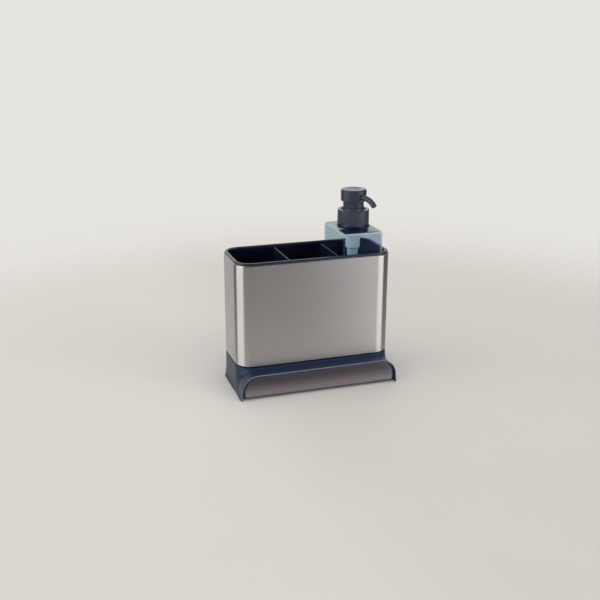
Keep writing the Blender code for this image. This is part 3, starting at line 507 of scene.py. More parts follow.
def smoothed(profile, radius, steps=4):
    """Rounds every corner of a closed (u, v) profile, less where sides are short."""
    rounded = []
    count = len(profile)
    for i in range(count):
        before, here, after = (Vector(profile[(i + k) % count]) for k in (-1, 0, 1))
        to_before, to_after = before - here, after - here
        reach = min(radius, to_before.length * 0.45, to_after.length * 0.45)
        a = here + to_before.normalized() * reach
        b = here + to_after.normalized() * reach
        for k in range(steps + 1):
            t = k / steps
            rounded.append(tuple(a * (1 - t) ** 2 + here * 2 * t * (1 - t) + b * t * t))
    return rounded


print("a rounded outline has", len(rounded_outline(1.0, 1.0, 0.1)), "points")


# %% Skins over rings
def skinned(rings, looped=False, bright=()):
    """A closed skin over equal rings of points; rows listed in bright take the second finish, which
    paints a highlight.
    """
    shape = bmesh.new()
    rows = [[shape.verts.new(point) for point in ring] for ring in rings]
    pairs = list(zip(rows, rows[1:]))
    if looped:
        pairs.append((rows[-1], rows[0]))
    else:
        shape.faces.new(rows[0])
        shape.faces.new(rows[-1])
    for row, (lower, upper) in enumerate(pairs):
        for i in range(len(lower)):
            j = (i + 1) % len(lower)
            face = shape.faces.new((lower[i], lower[j], upper[j], upper[i]))
            face.material_index = int(row in bright)
    return shape


def lathed(profile, steps=72, looped=True, centre=AXIS):
    """A turned shape from (radius, height) pairs; radius 0 closes it at a pole."""
    shape = bmesh.new()
    rows = []
    spokes = [FULL_TURN * i / steps for i in range(steps)]
    for radius, height in profile:
        middle = centre + Vector((0, 0, height))
        if radius == 0.0:
            rows.append([shape.verts.new(middle)] * steps)
        else:
            rows.append([shape.verts.new(middle + Vector((radius * math.cos(a),
                                                          radius * math.sin(a), 0)))
                         for a in spokes])
    pairs = list(zip(rows, rows[1:]))
    if looped:
        pairs.append((rows[-1], rows[0]))
    for lower, upper in pairs:
        for i in range(steps):
            j = (i + 1) % steps
            corners = list(dict.fromkeys((lower[i], lower[j], upper[j], upper[i])))
            if len(corners) > 2:
                shape.faces.new(corners)
    return shape


print("skin helpers ready")


# %% Meshes, joined and shaded
def crisp(mesh, sharp):
    """Round parts smooth, and edges sharper than so many degrees crisp."""
    mesh.shade_smooth()
    mesh.set_sharp_from_angle(angle=math.radians(sharp))
    return mesh


def poured(name, shape):
    """The mesh of a bmesh, which is then let go."""
    mesh = bpy.data.meshes.new(name)
    shape.to_mesh(mesh)
    shape.free()
    return mesh


def fused(name, *meshes, sharp=40.0):
    """One mesh from several closed ones, for mouldings made of more than one form."""
    whole = bmesh.new()
    for mesh in meshes:
        whole.from_mesh(mesh)
        bpy.data.meshes.remove(mesh)
    return crisp(poured(name, whole), sharp)


def as_mesh(name, *shapes, sharp=40.0):
    """The same from closed bmeshes, with their faces turned outward first."""
    for shape in shapes:
        bmesh.ops.recalc_face_normals(shape, faces=shape.faces)
    return fused(name, *[poured("part", shape) for shape in shapes], sharp=sharp)


def block(low, high, edge=0.25 * MM):
    """A box with eased edges, as a mesh."""
    shape = bmesh.new()
    bmesh.ops.create_cube(shape, size=1.0)
    for vert in shape.verts:
        for axis in range(3):
            vert.co[axis] = low[axis] if vert.co[axis] < 0 else high[axis]
    bmesh.ops.bevel(shape, geom=shape.edges[:], offset=edge, segments=2, affect="EDGES",
                    profile=0.5)
    return as_mesh("block", shape)


print("mesh helpers ready")

# %% [markdown]
# ## Putting a piece on its body
# A finished piece stands for one or more imported nodes, hides them, and moves with
# their body. This one function does all of it, so that no piece is left without a body.

# %% Place a piece
def shown(name, data):
    """A new object in the scene."""
    thing = bpy.data.objects.new(name, data)
    bpy.context.scene.collection.objects.link(thing)
    return thing


def settled(thing):
    """The plain mesh that an object's modifiers make; the object itself goes."""
    bpy.context.view_layer.update()
    evaluated = thing.evaluated_get(bpy.context.evaluated_depsgraph_get())
    mesh = bpy.data.meshes.new_from_object(evaluated)
    thing.modifiers.clear()
    bpy.data.objects.remove(thing)
    return mesh


def place(name, mesh, finish, body, slot, *nodes):
    if not mesh.materials:
        mesh.materials.append(finish)
    thing = shown(name, mesh)
    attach(thing, body)
    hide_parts(*nodes)
    print(f"{name}: {len(mesh.polygons)} faces on {body}")
    return thing


print("bodies to ride on:", ", ".join(frame["bodies"]))

# %% [markdown]
# ## Geometry Nodes recipes
# What repeats, or follows a path, is made by a node tree with named sizes. A recipe
# here is built once, run on a carrier object with its sizes set, and the result is
# kept as a plain mesh.

# %% A recipe: a geometry tree with named sizes
class Recipe(Wiring):
    def __init__(self, name, **sizes):
        super().__init__(bpy.data.node_groups.new(name, "GeometryNodeTree"))
        face = self.tree.interface
        face.new_socket("Geometry", in_out="INPUT", socket_type="NodeSocketGeometry")
        face.new_socket("Geometry", in_out="OUTPUT", socket_type="NodeSocketGeometry")
        kinds = {float: "NodeSocketFloat", int: "NodeSocketInt", tuple: "NodeSocketVector"}
        self.ids = {}
        for size, sample in sizes.items():
            made = face.new_socket(size, in_out="INPUT", socket_type=kinds[type(sample)])
            made.default_value = sample
            self.ids[size] = made.identifier
        made = face.new_socket("finish", in_out="INPUT", socket_type="NodeSocketMaterial")
        self.ids["finish"] = made.identifier
        self.given = self.node("NodeGroupInput")
        self.end = self.node("NodeGroupOutput")
        self.carried = self.given.outputs[0]

    def size(self, name):
        return Value(self, self.given.outputs[name])

    def geo(self, kind, sockets, settings=None):
        """A geometry node whose first output is geometry."""
        return self.node("GeometryNode" + kind, settings, sockets).outputs[0]

    def copies(self, points, instance):
        return self.geo("InstanceOnPoints", {"Points": points, "Instance": instance})

    def joined(self, *parts):
        both = self.node("GeometryNodeJoinGeometry")
        for part in parts:
            self.join(both.inputs[0], part)
        return both.outputs[0]

    def rounded(self, length, depth, corner, count):
        """A rectangle of curves with filleted corners."""
        box = self.geo("CurvePrimitiveQuadrilateral", {"Width": length, "Height": depth},
                       {"mode": "RECTANGLE"})
        return self.geo("FilletCurve", {0: box, "Count": count, "Radius": corner},
                        {"mode": "POLY"})

    def line(self, count):
        """So many points, and their numbers from 0."""
        points = self.geo("MeshLine", {"Count": count}, {"mode": "OFFSET"})
        return points, Value(self, self.node("GeometryNodeInputIndex").outputs[0])

    def moved(self, points, *axes):
        spot = self.node("ShaderNodeCombineXYZ", sockets=dict(enumerate(axes)))
        return self.geo("SetPosition", {0: points, "Position": spot.outputs[0]})

    def row(self, count, pitch):
        """Points along X, centred, as many as count and one pitch apart."""
        points, index = self.line(count)
        return self.moved(points, (index - (count - 1) / 2) * pitch)

    def close(self, geometry):
        """Every tree ends at its middle, in real geometry that carries its finish."""
        there = self.geo("Transform", {0: geometry, "Translation": self.size("middle")})
        real = self.geo("RealizeInstances", {0: there})
        done = self.geo("SetMaterial", {0: real, "Material": self.given.outputs["finish"]})
        self.join(self.end.inputs[0], done)
        print(self.tree.name, "recipe:", len(self.tree.nodes), "nodes")

    def run(self, name, carrier, finish, sharp=40.0, **sizes):
        """Runs the tree on a carrier mesh and returns a plain mesh."""
        thing = shown(name, carrier)
        step = thing.modifiers.new("recipe", "NODES")
        step.node_group = self.tree
        for size, value in {**sizes, "finish": finish}.items():
            step[self.ids[size]] = value
        mesh = settled(thing)
        mesh.name = name
        shape = bmesh.new()
        shape.from_mesh(mesh)
        bmesh.ops.remove_doubles(shape, verts=shape.verts, dist=1e-6)
        bmesh.ops.recalc_face_normals(shape, faces=shape.faces)
        shape.to_mesh(mesh)
        shape.free()
        return crisp(mesh, sharp)


print("recipe helper ready")


# %% What a recipe is run on
def polyline(points, closed=True):
    """A mesh of edges only, to carry a profile or a path into a recipe."""
    mesh = bpy.data.meshes.new("line")
    count = len(points)
    edges = [(i, (i + 1) % count) for i in range(count if closed else count - 1)]
    mesh.from_pydata([tuple(p) for p in points], edges, [])
    return mesh


NOTHING = polyline([(0, 0, 0), (0, 0, MM)], False)
print("blank carrier:", len(NOTHING.vertices), "points")

# %% [markdown]
# ### The sweep
# The steel band, the bin's wall with its rim, and the collar that holds the band on the
# base all follow the same rule: one profile carried round a rounded rectangle. The
# recipe draws the rectangle, fillets its corners, and sweeps the profile that the
# carrier holds. Curve to Mesh lays a profile's X outwards and its Y downwards here, so
# each profile point (inset, height) becomes (-inset, -height).

# %% Recipe: sweep a profile round a rounded rectangle
sweep = Recipe("sweep_round_rectangle", length=0.23, depth=0.1, corner=0.024, steps=16,
               middle=(0.0, 0.0, 0.0))
path = sweep.rounded(*(sweep.size(s) for s in ("length", "depth", "corner", "steps")))
outline = sweep.geo("MeshToCurve", {0: sweep.carried})
sweep.close(sweep.geo("CurveToMesh", {"Curve": path, "Profile Curve": outline}))


def swept_round(name, profile, finish, sharp=40.0):
    """Sweeps (inset, height) points round the outline of the steel band."""
    carrier = polyline([(-inset, -height, 0) for inset, height in profile])
    return sweep.run(name, carrier, finish, sharp, length=HALF_LENGTH * 2,
                     depth=HALF_DEPTH * 2, corner=CORNER, steps=20,
                     middle=(0.0, MIDDLE_Y, 0.0))


# %% [markdown]
# ### The steel band
# The real band is a strip of sheet, bent round and welded at the back, with its top
# edge curled inward so that no hand meets a raw edge. Only a line of the curl shows
# outside the rim, but that line catches the light along the top of the front. The
# waist is one more row of points on the plain wall, here and on the bin.

# %% Sweep the band
sheet, curl, burr, waist = 0.6 * MM, 2.0 * MM, 0.12 * MM, 40 * MM
low, high = sleeve_low.z, sleeve_high.z
band = [(burr, low), (0.0, low + burr), (0.0, low + waist), (0.0, high - curl)]
band += [(curl - r, z) for r, z in arc(0, high - curl, curl, 0, 90, 8)][1:]
band += [(curl - r, z) for r, z in arc(0, high - curl, curl - sheet, 90, 0, 6)]
band += [(sheet, low + waist), (sheet, low + burr), (sheet - burr, low)]
place("steel_band", swept_round("steel_band", band, STEEL), STEEL,
      "organizer", "brushed_steel", "steel_sleeve")

# %% [markdown]
# ### Plates with rows of openings
# The bin's floor has twelve drain slots and the deck below it three windows. Both are
# flat plates with repeated openings. The recipe fills the plate's outline and skips the
# repeated outlines, then thickens the result. The slots stand in groups, one group to
# a cell, so the points are placed twice: slots in a cell, then cells along the bin.

# %% Recipe: a plate with groups of openings
plate = Recipe("plate_with_openings", length=0.2, depth=0.08, corner=0.02, hole_length=0.003,
               hole_depth=0.04, hole_corner=0.001, in_cell=4, hole_pitch=0.013, cells=3,
               cell_pitch=0.07, thickness=0.002, middle=(0.0, 0.0, 0.0))
hole = plate.rounded(*(plate.size(s) for s in ("hole_length", "hole_depth", "hole_corner")), 6)
cell = plate.copies(plate.row(plate.size("in_cell"), plate.size("hole_pitch")), hole)
cells = plate.copies(plate.row(plate.size("cells"), plate.size("cell_pitch")), cell)
holes = plate.geo("RealizeInstances", {0: cells})
edge = plate.rounded(*(plate.size(s) for s in ("length", "depth", "corner")), 16)
flat = plate.geo("FillCurve", {0: plate.joined(edge, holes)}, {"mode": "TRIANGLES"})
thick = plate.geo("ExtrudeMesh", {0: flat, "Offset Scale": plate.size("thickness"),
                                  "Individual": False}, {"mode": "FACES"})
plate.close(plate.joined(thick, plate.geo("FlipFaces", {0: flat})))

# %% [markdown]
# ### Repeats in two groups
# Guide ribs, screw posts, screws and pads all repeat in the same way: a pair or a
# single one at each corner of a rectangle. This recipe copies whatever the carrier
# holds to a pair of places, and that pair to the corners.

# %% Recipe: copies at the corners of a rectangle
corners = Recipe("copies_at_corners", pair=1, pair_pitch=0.004, length=0.07, depth=0.05,
                 middle=(0.0, 0.0, 0.0))
pair = corners.copies(corners.row(corners.size("pair"), corners.size("pair_pitch")),
                      corners.carried)
spots = corners.geo("MeshGrid", {
    "Size X": corners.size("length"), "Size Y": corners.size("depth"),
    "Vertices X": 2, "Vertices Y": 2})
corners.close(corners.copies(spots, pair))
AT_SCREWS = {"length": CELL_PITCH, "depth": 52 * MM, "middle": (0.0, MIDDLE_Y, 0.0)}
AT_FEET = {"length": 218 * MM, "depth": 73 * MM, "middle": (0.0, -7.5 * MM, 0.0)}

# %% [markdown]
# ### The bin
# One moulding: a wall with a fat rounded rim that sits on the band's curl, a raised
# floor with drain slots, guide ribs for the two dividers, and posts that take the deck
# screws. The rim is what the eye meets first, so its profile has real quarter rounds.

# %% Build the bin
rim_out, rim_in, wall = 1.1 * MM, 6.2 * MM, 1.8 * MM
floor_top, floor_thick, into_wall = 52.0 * MM, 2.0 * MM, 1 * MM
bead, top = 1.9 * MM, bin_high.z + 0.5 * MM
rim_under, waist = sleeve_high.z + GAP, 60 * MM
profile = [(rim_in - wall, bin_low.z), (rim_in - wall, waist), (rim_in - wall, rim_under),
           (rim_out + 0.3 * MM, rim_under)]
profile += arc(rim_out + bead, top - bead, bead, 180, 90, 7)
profile += arc(rim_in - bead, top - bead, bead, 90, 0, 7)
profile += [(rim_in, waist), (rim_in, bin_low.z)]
tub = swept_round("tub", profile, BLACK)
floor = plate.run("floor", NOTHING, BLACK, length=2 * (HALF_LENGTH - rim_in + into_wall),
                  depth=2 * (HALF_DEPTH - rim_in + into_wall), corner=CORNER - rim_in + into_wall,
                  hole_length=3.4 * MM, hole_depth=44 * MM, hole_corner=1.6 * MM, in_cell=4,
                  hole_pitch=13 * MM, cells=3, cell_pitch=CELL_PITCH, thickness=floor_thick,
                  middle=(0.0, MIDDLE_Y, floor_top - floor_thick))
rib = block((-0.8 * MM, -1.0 * MM, floor_top - 0.4 * MM), (0.8 * MM, 1.0 * MM, 178 * MM))
ribs = corners.run("ribs", rib, BLACK, pair=2, pair_pitch=3.7 * MM, length=CELL_PITCH,
                   depth=2 * (HALF_DEPTH - rim_in) - 1.2 * MM, middle=(0.0, MIDDLE_Y, 0.0))
post_out, post_in, post_top = 4.2 * MM, 1.7 * MM, floor_top - 1 * MM
post = as_mesh("post", lathed([(post_in, bin_low.z), (post_out, bin_low.z),
                               (post_out, post_top), (post_in, post_top)],
                              32, centre=Vector()))
posts = corners.run("posts", post, BLACK, **AT_SCREWS)
place("bin", fused("bin", tub, floor, ribs, posts), BLACK,
      "organizer", "bin_plastic", "inner_bin")

# %% [markdown]
# ### The arched base
# The base leaves the band's outline straight down and sweeps forward into an arch,
# like a hood. Its rule: every line of the skin is a cubic curve from a point on the
# band's outline to a point on the arch, the leg or the floor line. A script is the
# clearest way to write that rule; the lines are spread over the skin and the rows
# along them give clean quads. The lip at the arch is a true round, because the
# photograph shows one thin bright line along it, and its nose is painted lighter as
# well: a painted highlight.

# %% Sizes of the hood, and how a line falls
BASE_FRONT, BASE_BACK = base_low.y, 59.6 * MM
FOOT_X, BASE_FLOOR = 117.6 * MM, 0.6 * MM
ARCH_TOP, ARCH_CORNER, LEG_DRAW, FOOT_FLARE = 36.5 * MM, 24.6 * MM, 0.5 * MM, 0.6 * MM
BACK_CORNER, WALL, LIP = 25.5 * MM, 2.3 * MM, 0.7 * MM
FRONT_DROP, FRONT_REACH, SIDE_DROP, HEEL = 0.7, 0.55, 0.6, 7 * MM
LEG_CURVE, FLARE_END = 1.6, 0.4
BASE_TOP = sleeve_low.z - GAP
HOOD_TOP = BASE_TOP - 1.8 * MM


def upward(height):
    return Vector((0, 0, height))


def swept(start, end):
    """Leaves the steel straight down and meets the arch straight ahead."""
    reach, fall = start.y - end.y, start.z - end.z
    return (start, start - upward(fall * FRONT_DROP), end + Vector((0, reach * FRONT_REACH, 0)), end)


def kicked(start, end, ahead):
    """Falls down a side; ahead is the share of the front's sweep that is left in it."""
    out = Vector((end.x - start.x, 0.0 if ahead else end.y - start.y, 0.0))
    near = end - out * (1 - ahead) + Vector((0, (start.y - end.y) * FRONT_REACH * ahead,
                                             HEEL * (1 - ahead)))
    return (start, start - upward((start.z - end.z) * SIDE_DROP), near, end)


print("the hood falls", round((HOOD_TOP - BASE_FLOOR) / MM, 1), "mm")


# %% Lines of the hood
def hood_lines(inset, fine=3):
    """Four control points for each line, by the right to the back, then the left mirrored."""
    half_x, half_y = HALF_LENGTH - inset, HALF_DEPTH - inset
    corner = CORNER - inset
    front_y, back_y = MIDDLE_Y - half_y, MIDDLE_Y + half_y
    foot_x, arch_top = FOOT_X - inset, ARCH_TOP - inset
    arch_corner, back_corner = ARCH_CORNER - inset, BACK_CORNER - inset
    foot_back, leg_top, arch_x = BASE_BACK - inset, arch_top - arch_corner, foot_x - LEG_DRAW
    lines = []
    middle, fan, arch_steps, side, back = 2 * fine, 12 * fine, 8 * fine, 7 * fine, 6 * fine
    for i in range(middle):
        share = i / middle
        lines.append(swept(Vector(((half_x - corner) * share, front_y, HOOD_TOP)),
                           Vector(((arch_x - arch_corner) * share, BASE_FRONT, arch_top))))
    for i, (x, y) in enumerate(arc(half_x - corner, front_y + corner, corner, -90, 0, fan)):
        if i <= arch_steps:
            bend = math.radians(90 - 90 * i / arch_steps)
            end = Vector((arch_x - arch_corner + arch_corner * math.cos(bend), BASE_FRONT,
                          leg_top + arch_corner * math.sin(bend)))
        else:
            share = (i - arch_steps) / (fan - arch_steps)
            end = Vector((arch_x + (LEG_DRAW + FOOT_FLARE) * share ** LEG_CURVE, BASE_FRONT,
                          leg_top + (BASE_FLOOR - leg_top) * share))
        start = Vector((x, y, HOOD_TOP))
        lines.append(swept(start, end) if i < fan else kicked(start, end, 1.0))
    for i in range(1, side):
        share = i / side
        near_foot = max(0.0, 1 - share / FLARE_END)
        lines.append(kicked(
            Vector((half_x, front_y + corner + (half_y - corner) * 2 * share, HOOD_TOP)),
            Vector((foot_x + FOOT_FLARE * near_foot,
                    BASE_FRONT + (foot_back - back_corner - BASE_FRONT) * share,
                    BASE_FLOOR)), near_foot))
    tops = arc(half_x - corner, back_y - corner, corner, 0, 90, back)
    feet = arc(foot_x - back_corner, foot_back - back_corner, back_corner, 0, 90, back)
    lines += [kicked(Vector((*top, HOOD_TOP)), Vector((*foot, BASE_FLOOR)), 0.0)
              for top, foot in zip(tops, feet)]
    flip = Vector((-1, 1, 1))
    return lines + [tuple(p * flip for p in line) for line in reversed(lines[1:])]


print("hood lines:", len(hood_lines(0.0)))


# %% Skin the hood and give it its lip
def along(line, t):
    a, b, c, d = line
    s = 1 - t
    return a * s ** 3 + b * (3 * s * s * t) + c * (3 * s * t * t) + d * t ** 3


def hood_shell(rows=20, lip_steps=4):
    outer, inner = hood_lines(0.0), hood_lines(WALL)
    rings = [[line[0] - upward(fall) for line in hood_lines(inset)]
             for inset, fall in mm([(0.7, 0), (0.2, 0.2), (0, 0.7)])]
    rings += [[along(line, i / rows) for line in outer] for i in range(1, rows)]
    edges = [(LIP * (1 - math.cos(a)), LIP * (1 - math.sin(a))) for a in turns(0, 90, lip_steps)]
    edges += [(WALL - inset, back) for inset, back in reversed(edges)]
    for inset, back in edges:
        rings.append([end + (near - end).normalized() * back
                      for _, _, near, end in hood_lines(inset)])
    rings += [[along(line, i / rows) for line in inner] for i in reversed(range(rows))]
    # The rows of the lip's nose take the lighter finish: a painted highlight.
    nose = range(rows + 4, rows + 3 + lip_steps)
    return skinned(rings, looped=True, bright=nose)


hood = as_mesh("hood", hood_shell(), sharp=60)
print("hood:", len(hood.polygons), "faces")

# %% The deck, the spigot for the band, the tray's rails and the pads' bosses
DECK, deck_inset = 2.2 * MM, 1.5 * MM
deck = plate.run("deck", NOTHING, NAVY, length=2 * (HALF_LENGTH - deck_inset),
                 depth=2 * (HALF_DEPTH - deck_inset), corner=CORNER - deck_inset,
                 hole_length=54 * MM, hole_depth=56 * MM, hole_corner=8 * MM, in_cell=1,
                 hole_pitch=0.01, cells=3, cell_pitch=CELL_PITCH, thickness=DECK - 0.02 * MM,
                 middle=(0.0, MIDDLE_Y, BASE_TOP - DECK))
spigot = [(inset, BASE_TOP + height) for inset, height in
          mm([(1.4, -2.1), (1.4, 5), (2.7, 5), (2.7, -2.1)])]
spigot = swept_round("spigot", smoothed(spigot, 0.4 * MM, 2), NAVY)
rail_in, rail_out = 104, 115.8
rails = [block(*mm([(low, -50, 4.0), (high, 36, 5.6)]))
         for low, high in ((-rail_out, -rail_in), (rail_in, rail_out))]
boss = as_mesh("boss", lathed(mm([(4.8, 1.8), (4.8, 0.9), (5.2, 0.6), (6.0, 0.6)]), 32,
                              centre=upward(1.0 * MM)))
bosses = corners.run("bosses", boss, NAVY, **AT_FEET)
whole_base = fused("arched_base", hood, deck, spigot, *rails, bosses, sharp=60)
for finish in (NAVY, LIP_PAINTED_LIGHT):
    whole_base.materials.append(finish)
place("arched_base", whole_base, NAVY, "organizer", "base_plastic", "base_frame")

# %% [markdown]
# ### Pads and screws
# Four rubber pads sit in pockets under the base. Their undersides have grip rings. Four
# pan-head screws with a cross recess come up through the deck and hold the bin; they
# are what you see when you turn the caddy over. Both are made once and repeated.

# %% Foot pads
pad = mm([(0.0, 0.3), (0.9, 0.3), (1.1, 0.0), (1.9, 0.0), (2.1, 0.3), (2.6, 0.3), (2.8, 0.0),
          (4.1, 0.0), (4.4, 0.15), (4.5, 0.45), (4.5, 2.4), (0.0, 2.4)])
one_pad = as_mesh("pad", lathed(pad, 40, False, Vector()))
pads = corners.run("foot_pads", one_pad, RUBBER, **AT_FEET)
place("foot_pads", pads, RUBBER, "organizer", "foot_rubber", "foot_pad_front_left",
      "foot_pad_front_right", "foot_pad_back_left", "foot_pad_back_right")


# %% Deck screws
def cut(target_mesh, tool_mesh):
    """The first mesh with the second taken away, as a plain mesh."""
    body, tool = shown("body", target_mesh), shown("tool", tool_mesh)
    step = body.modifiers.new("cut", "BOOLEAN")
    step.operation, step.solver, step.object = "DIFFERENCE", "EXACT", tool
    done = settled(body)
    bpy.data.objects.remove(tool)
    return done


seat = BASE_TOP - DECK - GAP
core, crest, thread_turns, thread_pitch = 1.15, 1.4, 5, 1.2
screw = [(0.0, -2.0), (1.6, -1.95), (2.6, -1.6), (3.2, -0.9), (3.4, -0.2), (3.3, 0), (crest, 0)]
for turn in range(thread_turns):
    screw += [(crest, 1.0 + turn * thread_pitch), (core, 1.5 + turn * thread_pitch)]
screw += [(crest, 7.1), (0.0, 8.5)]
screw = [(radius, seat + height) for radius, height in mm(screw)]
one_screw = as_mesh("screw", lathed(screw, 32, False, Vector()))
long, narrow, recess_low, recess_high = 1.9 * MM, 0.35 * MM, seat - 2.6 * MM, seat - 1.0 * MM
for x, y in ((long, narrow), (narrow, long)):
    slot = block((-x, -y, recess_low), (x, y, recess_high), 0.05 * MM)
    one_screw = cut(one_screw, slot)
screws = corners.run("deck_screws", one_screw, ZINC, 35.0, **AT_SCREWS)
place("deck_screws", screws, ZINC, "organizer", "screw_zinc", "deck_screw_1",
      "deck_screw_2", "deck_screw_3", "deck_screw_4")


# %% [markdown]
# ### Dividers
# Two thin moulded walls slide between the guide ribs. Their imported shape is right, so a
# copy is merged, and every edge gets the small radius that a moulded wall has.

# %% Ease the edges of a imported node
def eased(node, width, segments=3):
    """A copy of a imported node's mesh, merged and with eased edges."""
    shape = bmesh.new()
    shape.from_mesh(frame["nodes"][node].data)
    bmesh.ops.remove_doubles(shape, verts=shape.verts, dist=2e-6)
    bmesh.ops.dissolve_limit(shape, angle_limit=math.radians(1), verts=shape.verts,
                             edges=shape.edges)
    sharp = [e for e in shape.edges if len(e.link_faces) == 2
             and e.calc_face_angle() > math.radians(50)]
    bmesh.ops.bevel(shape, geom=sharp, offset=width, segments=segments, affect="EDGES",
                    profile=0.5)
    return as_mesh(node + "_eased", shape, sharp=35)


for side in ("left", "right"):
    place(side + "_divider", eased("divider_" + side, 0.35 * MM), DIVIDER_BLACK,
          side + "_wall", "bin_plastic", "divider_" + side)


# %% [markdown]
# ### The drip tray
# A shallow tub slides on rails inside the base. Its front plate fills the arch, and a
# brushed panel is fixed on that plate, with its edges pressed back all round.

# %% Tray tub and front plate
tray_low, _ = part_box("drip_tray")
panel_low, panel_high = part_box("tray_front")


def arch_outline(half, bottom, top, corner, y, inset, low=2.4 * MM, steps=14):
    """An upright outline with wide top corners and small bottom ones."""
    points = []
    for u, v, radius, start in ((half - low, bottom + low, low, -90),
                                (half - corner, top - corner, corner, 0),
                                (-half + corner, top - corner, corner, 90),
                                (-half + low, bottom + low, low, 180)):
        points += arc(u, v, max(radius - inset, 0.2 * MM), start, start + 90, steps)
    return [Vector((x, y, z)) for x, z in points]


tub_half_x, tub_wall, draft = 110.8 * MM, 1.6 * MM, 1.2 * MM
front, back, bottom = -55 * MM, 50 * MM, tray_low.z
rim, foot_round, rim_round, cove = bottom + 17 * MM, 0.7 * MM, 0.5 * MM, 2 * MM
front_corner, back_corner = 4 * MM, 20 * MM
rows = [(1.9 * MM, draft, bottom)]
rows += [(foot_round - r, draft, z)
         for r, z in arc(0, bottom + foot_round, foot_round, -60, 0, 4)]
rows += [(0, 0, rim - rim_round)]
rows += [(rim_round - r, 0, z) for r, z in arc(0, rim - rim_round, rim_round, 30, 90, 3)]
rows += [(tub_wall - rim_round + r, 0, z)
         for r, z in arc(0, rim - rim_round, rim_round, 90, 0, 4)]
rows += [(tub_wall, draft, bottom + tub_wall + cove)]
rows += [(tub_wall + cove - r, draft, z)
         for r, z in arc(0, bottom + tub_wall + cove, cove, 0, -90, 5)][1:]
tub_rings = []
for inset, lean, z in rows:
    outline = rounded_outline(tub_half_x - inset - lean, (back - front) / 2 - inset,
                              front_corner - min(inset, 3 * MM), 10, back_corner - inset)
    tub_rings.append(level(outline, 0, (front + back) / 2, z))
face, front_face = panel_high.y + GAP, panel_low.y + 0.3 * MM
apron_half, apron_top, apron_corner = 113.6 * MM, 33.7 * MM, 21.0 * MM
apron = [(inset, front_face + y) for inset, y in
         mm([(0.5, 0), (0.2, 0.08), (0.05, 0.3), (0.0, 0.6)])]
apron += [(0.0, face + 1.5 * MM), (0.3 * MM, face + 1.8 * MM)]
apron_rings = [arch_outline(apron_half, bottom, apron_top, apron_corner, y, inset)
               for inset, y in apron]
place("tray_tub", as_mesh("tray_tub", skinned(tub_rings), skinned(apron_rings)), TRAY_PAINTED_LIGHT,
      "tray", "bin_plastic", "drip_tray")

# %% Brushed panel
half, corner = (panel_high.x - panel_low.x) / 2, 18.8 * MM
pressed = mm([(2.6, 0.0), (1.9, 0.02), (1.3, 0.1), (0.8, 0.26), (0.35, 0.5), (0.1, 0.85),
              (0.0, 1.2), (0.0, 1.6)])
panel_rings = [arch_outline(half, panel_low.z, panel_high.z, corner, panel_low.y + y, inset)
               for inset, y in pressed]
panel_shape = skinned(panel_rings)
panel_tall, strips, belly = panel_high.z - panel_low.z, 14, 1.0 * MM
for strip in range(1, strips):
    bmesh.ops.bisect_plane(
        panel_shape, dist=1e-7, plane_no=(0, 0, 1),
        geom=panel_shape.verts[:] + panel_shape.edges[:] + panel_shape.faces[:],
        plane_co=(0, 0, panel_low.z + panel_tall * strip / strips))
for vert in panel_shape.verts:
    share = (vert.co.z - panel_low.z) / panel_tall
    vert.co.y -= belly * (1 - share ** 2)
place("tray_panel", as_mesh("tray_panel", panel_shape, sharp=60), PANEL_STEEL,
      "tray", "brushed_steel", "tray_front")

# %% [markdown]
# ### The soap bottle
# A blown square bottle: upright edges with a small radius, a soft shoulder edge, a flat
# top and a round neck. Both skins are made, because the bottle is see-through and shows
# the inner skin as well.

# %% Bottle walls
foot, neck_top = bottle_low.z, bottle_high.z
edge, inner, wall, upright = 3.8 * MM, 2.4 * MM, 2.2 * MM, 4.2 * MM
CORNER_STEPS = 12


def bottle_ring(inset, z):
    outline = rounded_outline(BOTTLE_HALF_X - inset, BOTTLE_HALF_Y - inset,
                              max(upright - inset, 1.0 * MM), CORNER_STEPS)
    return level(outline, AXIS.x, AXIS.y, z)


def neck_circle(radius, z):
    """A circle with as many points as a bottle ring, each beside its own one."""
    count = 4 * (CORNER_STEPS + 1)
    first = -90 + 180 / count
    return level(arc(0, 0, radius, first, first + 360, count)[:-1], AXIS.x, AXIS.y, z)


rings = [bottle_ring(edge - r, z) for r, z in arc(0, foot + edge, edge, -90, 0, 8)]
rings += [bottle_ring(edge - r, z) for r, z in arc(0, SHOULDER - edge, edge, 0, 90, 8)]
for height, steps in ((SHOULDER, [(19.4, 0), (19.0, 0.15), (18.9, 0.6)]),
                      (neck_top, [(18.9, -0.4), (18.5, 0), (17.3, 0), (16.9, -0.4)]),
                      (SHOULDER - wall, [(16.9, 0.9), (17.2, 0.2), (17.9, 0)])):
    rings += [neck_circle(r, height + z) for r, z in mm(steps)]
for height, start, end in ((SHOULDER - wall - inner, 90, 0), (foot + wall + inner, 0, -90)):
    rings += [bottle_ring(wall + inner - r, z)
              for r, z in arc(0, height, inner, start, end, 6)]
place("soap_bottle", as_mesh("soap_bottle", skinned(rings), sharp=50), SMOKE,
      "dispenser", "bottle_smoke", "bottle")

# %% [markdown]
# ### Ring, collar and gasket
# These are turned parts: a black ring hides the shoulder's hole, the screw collar holds
# the pump down, and its raised lip guides the head's plunger. Each profile is a section
# drawn in millimetres with every corner rounded, then turned round the pump's axis.

# %% Turned parts round the neck
def turned(name, section, round_off, finish, body, slot, node, steps=96):
    profile = smoothed(mm(section), round_off * MM)
    return place(name, as_mesh(name, lathed(profile, steps), sharp=50.0), finish, body,
                 slot, node)


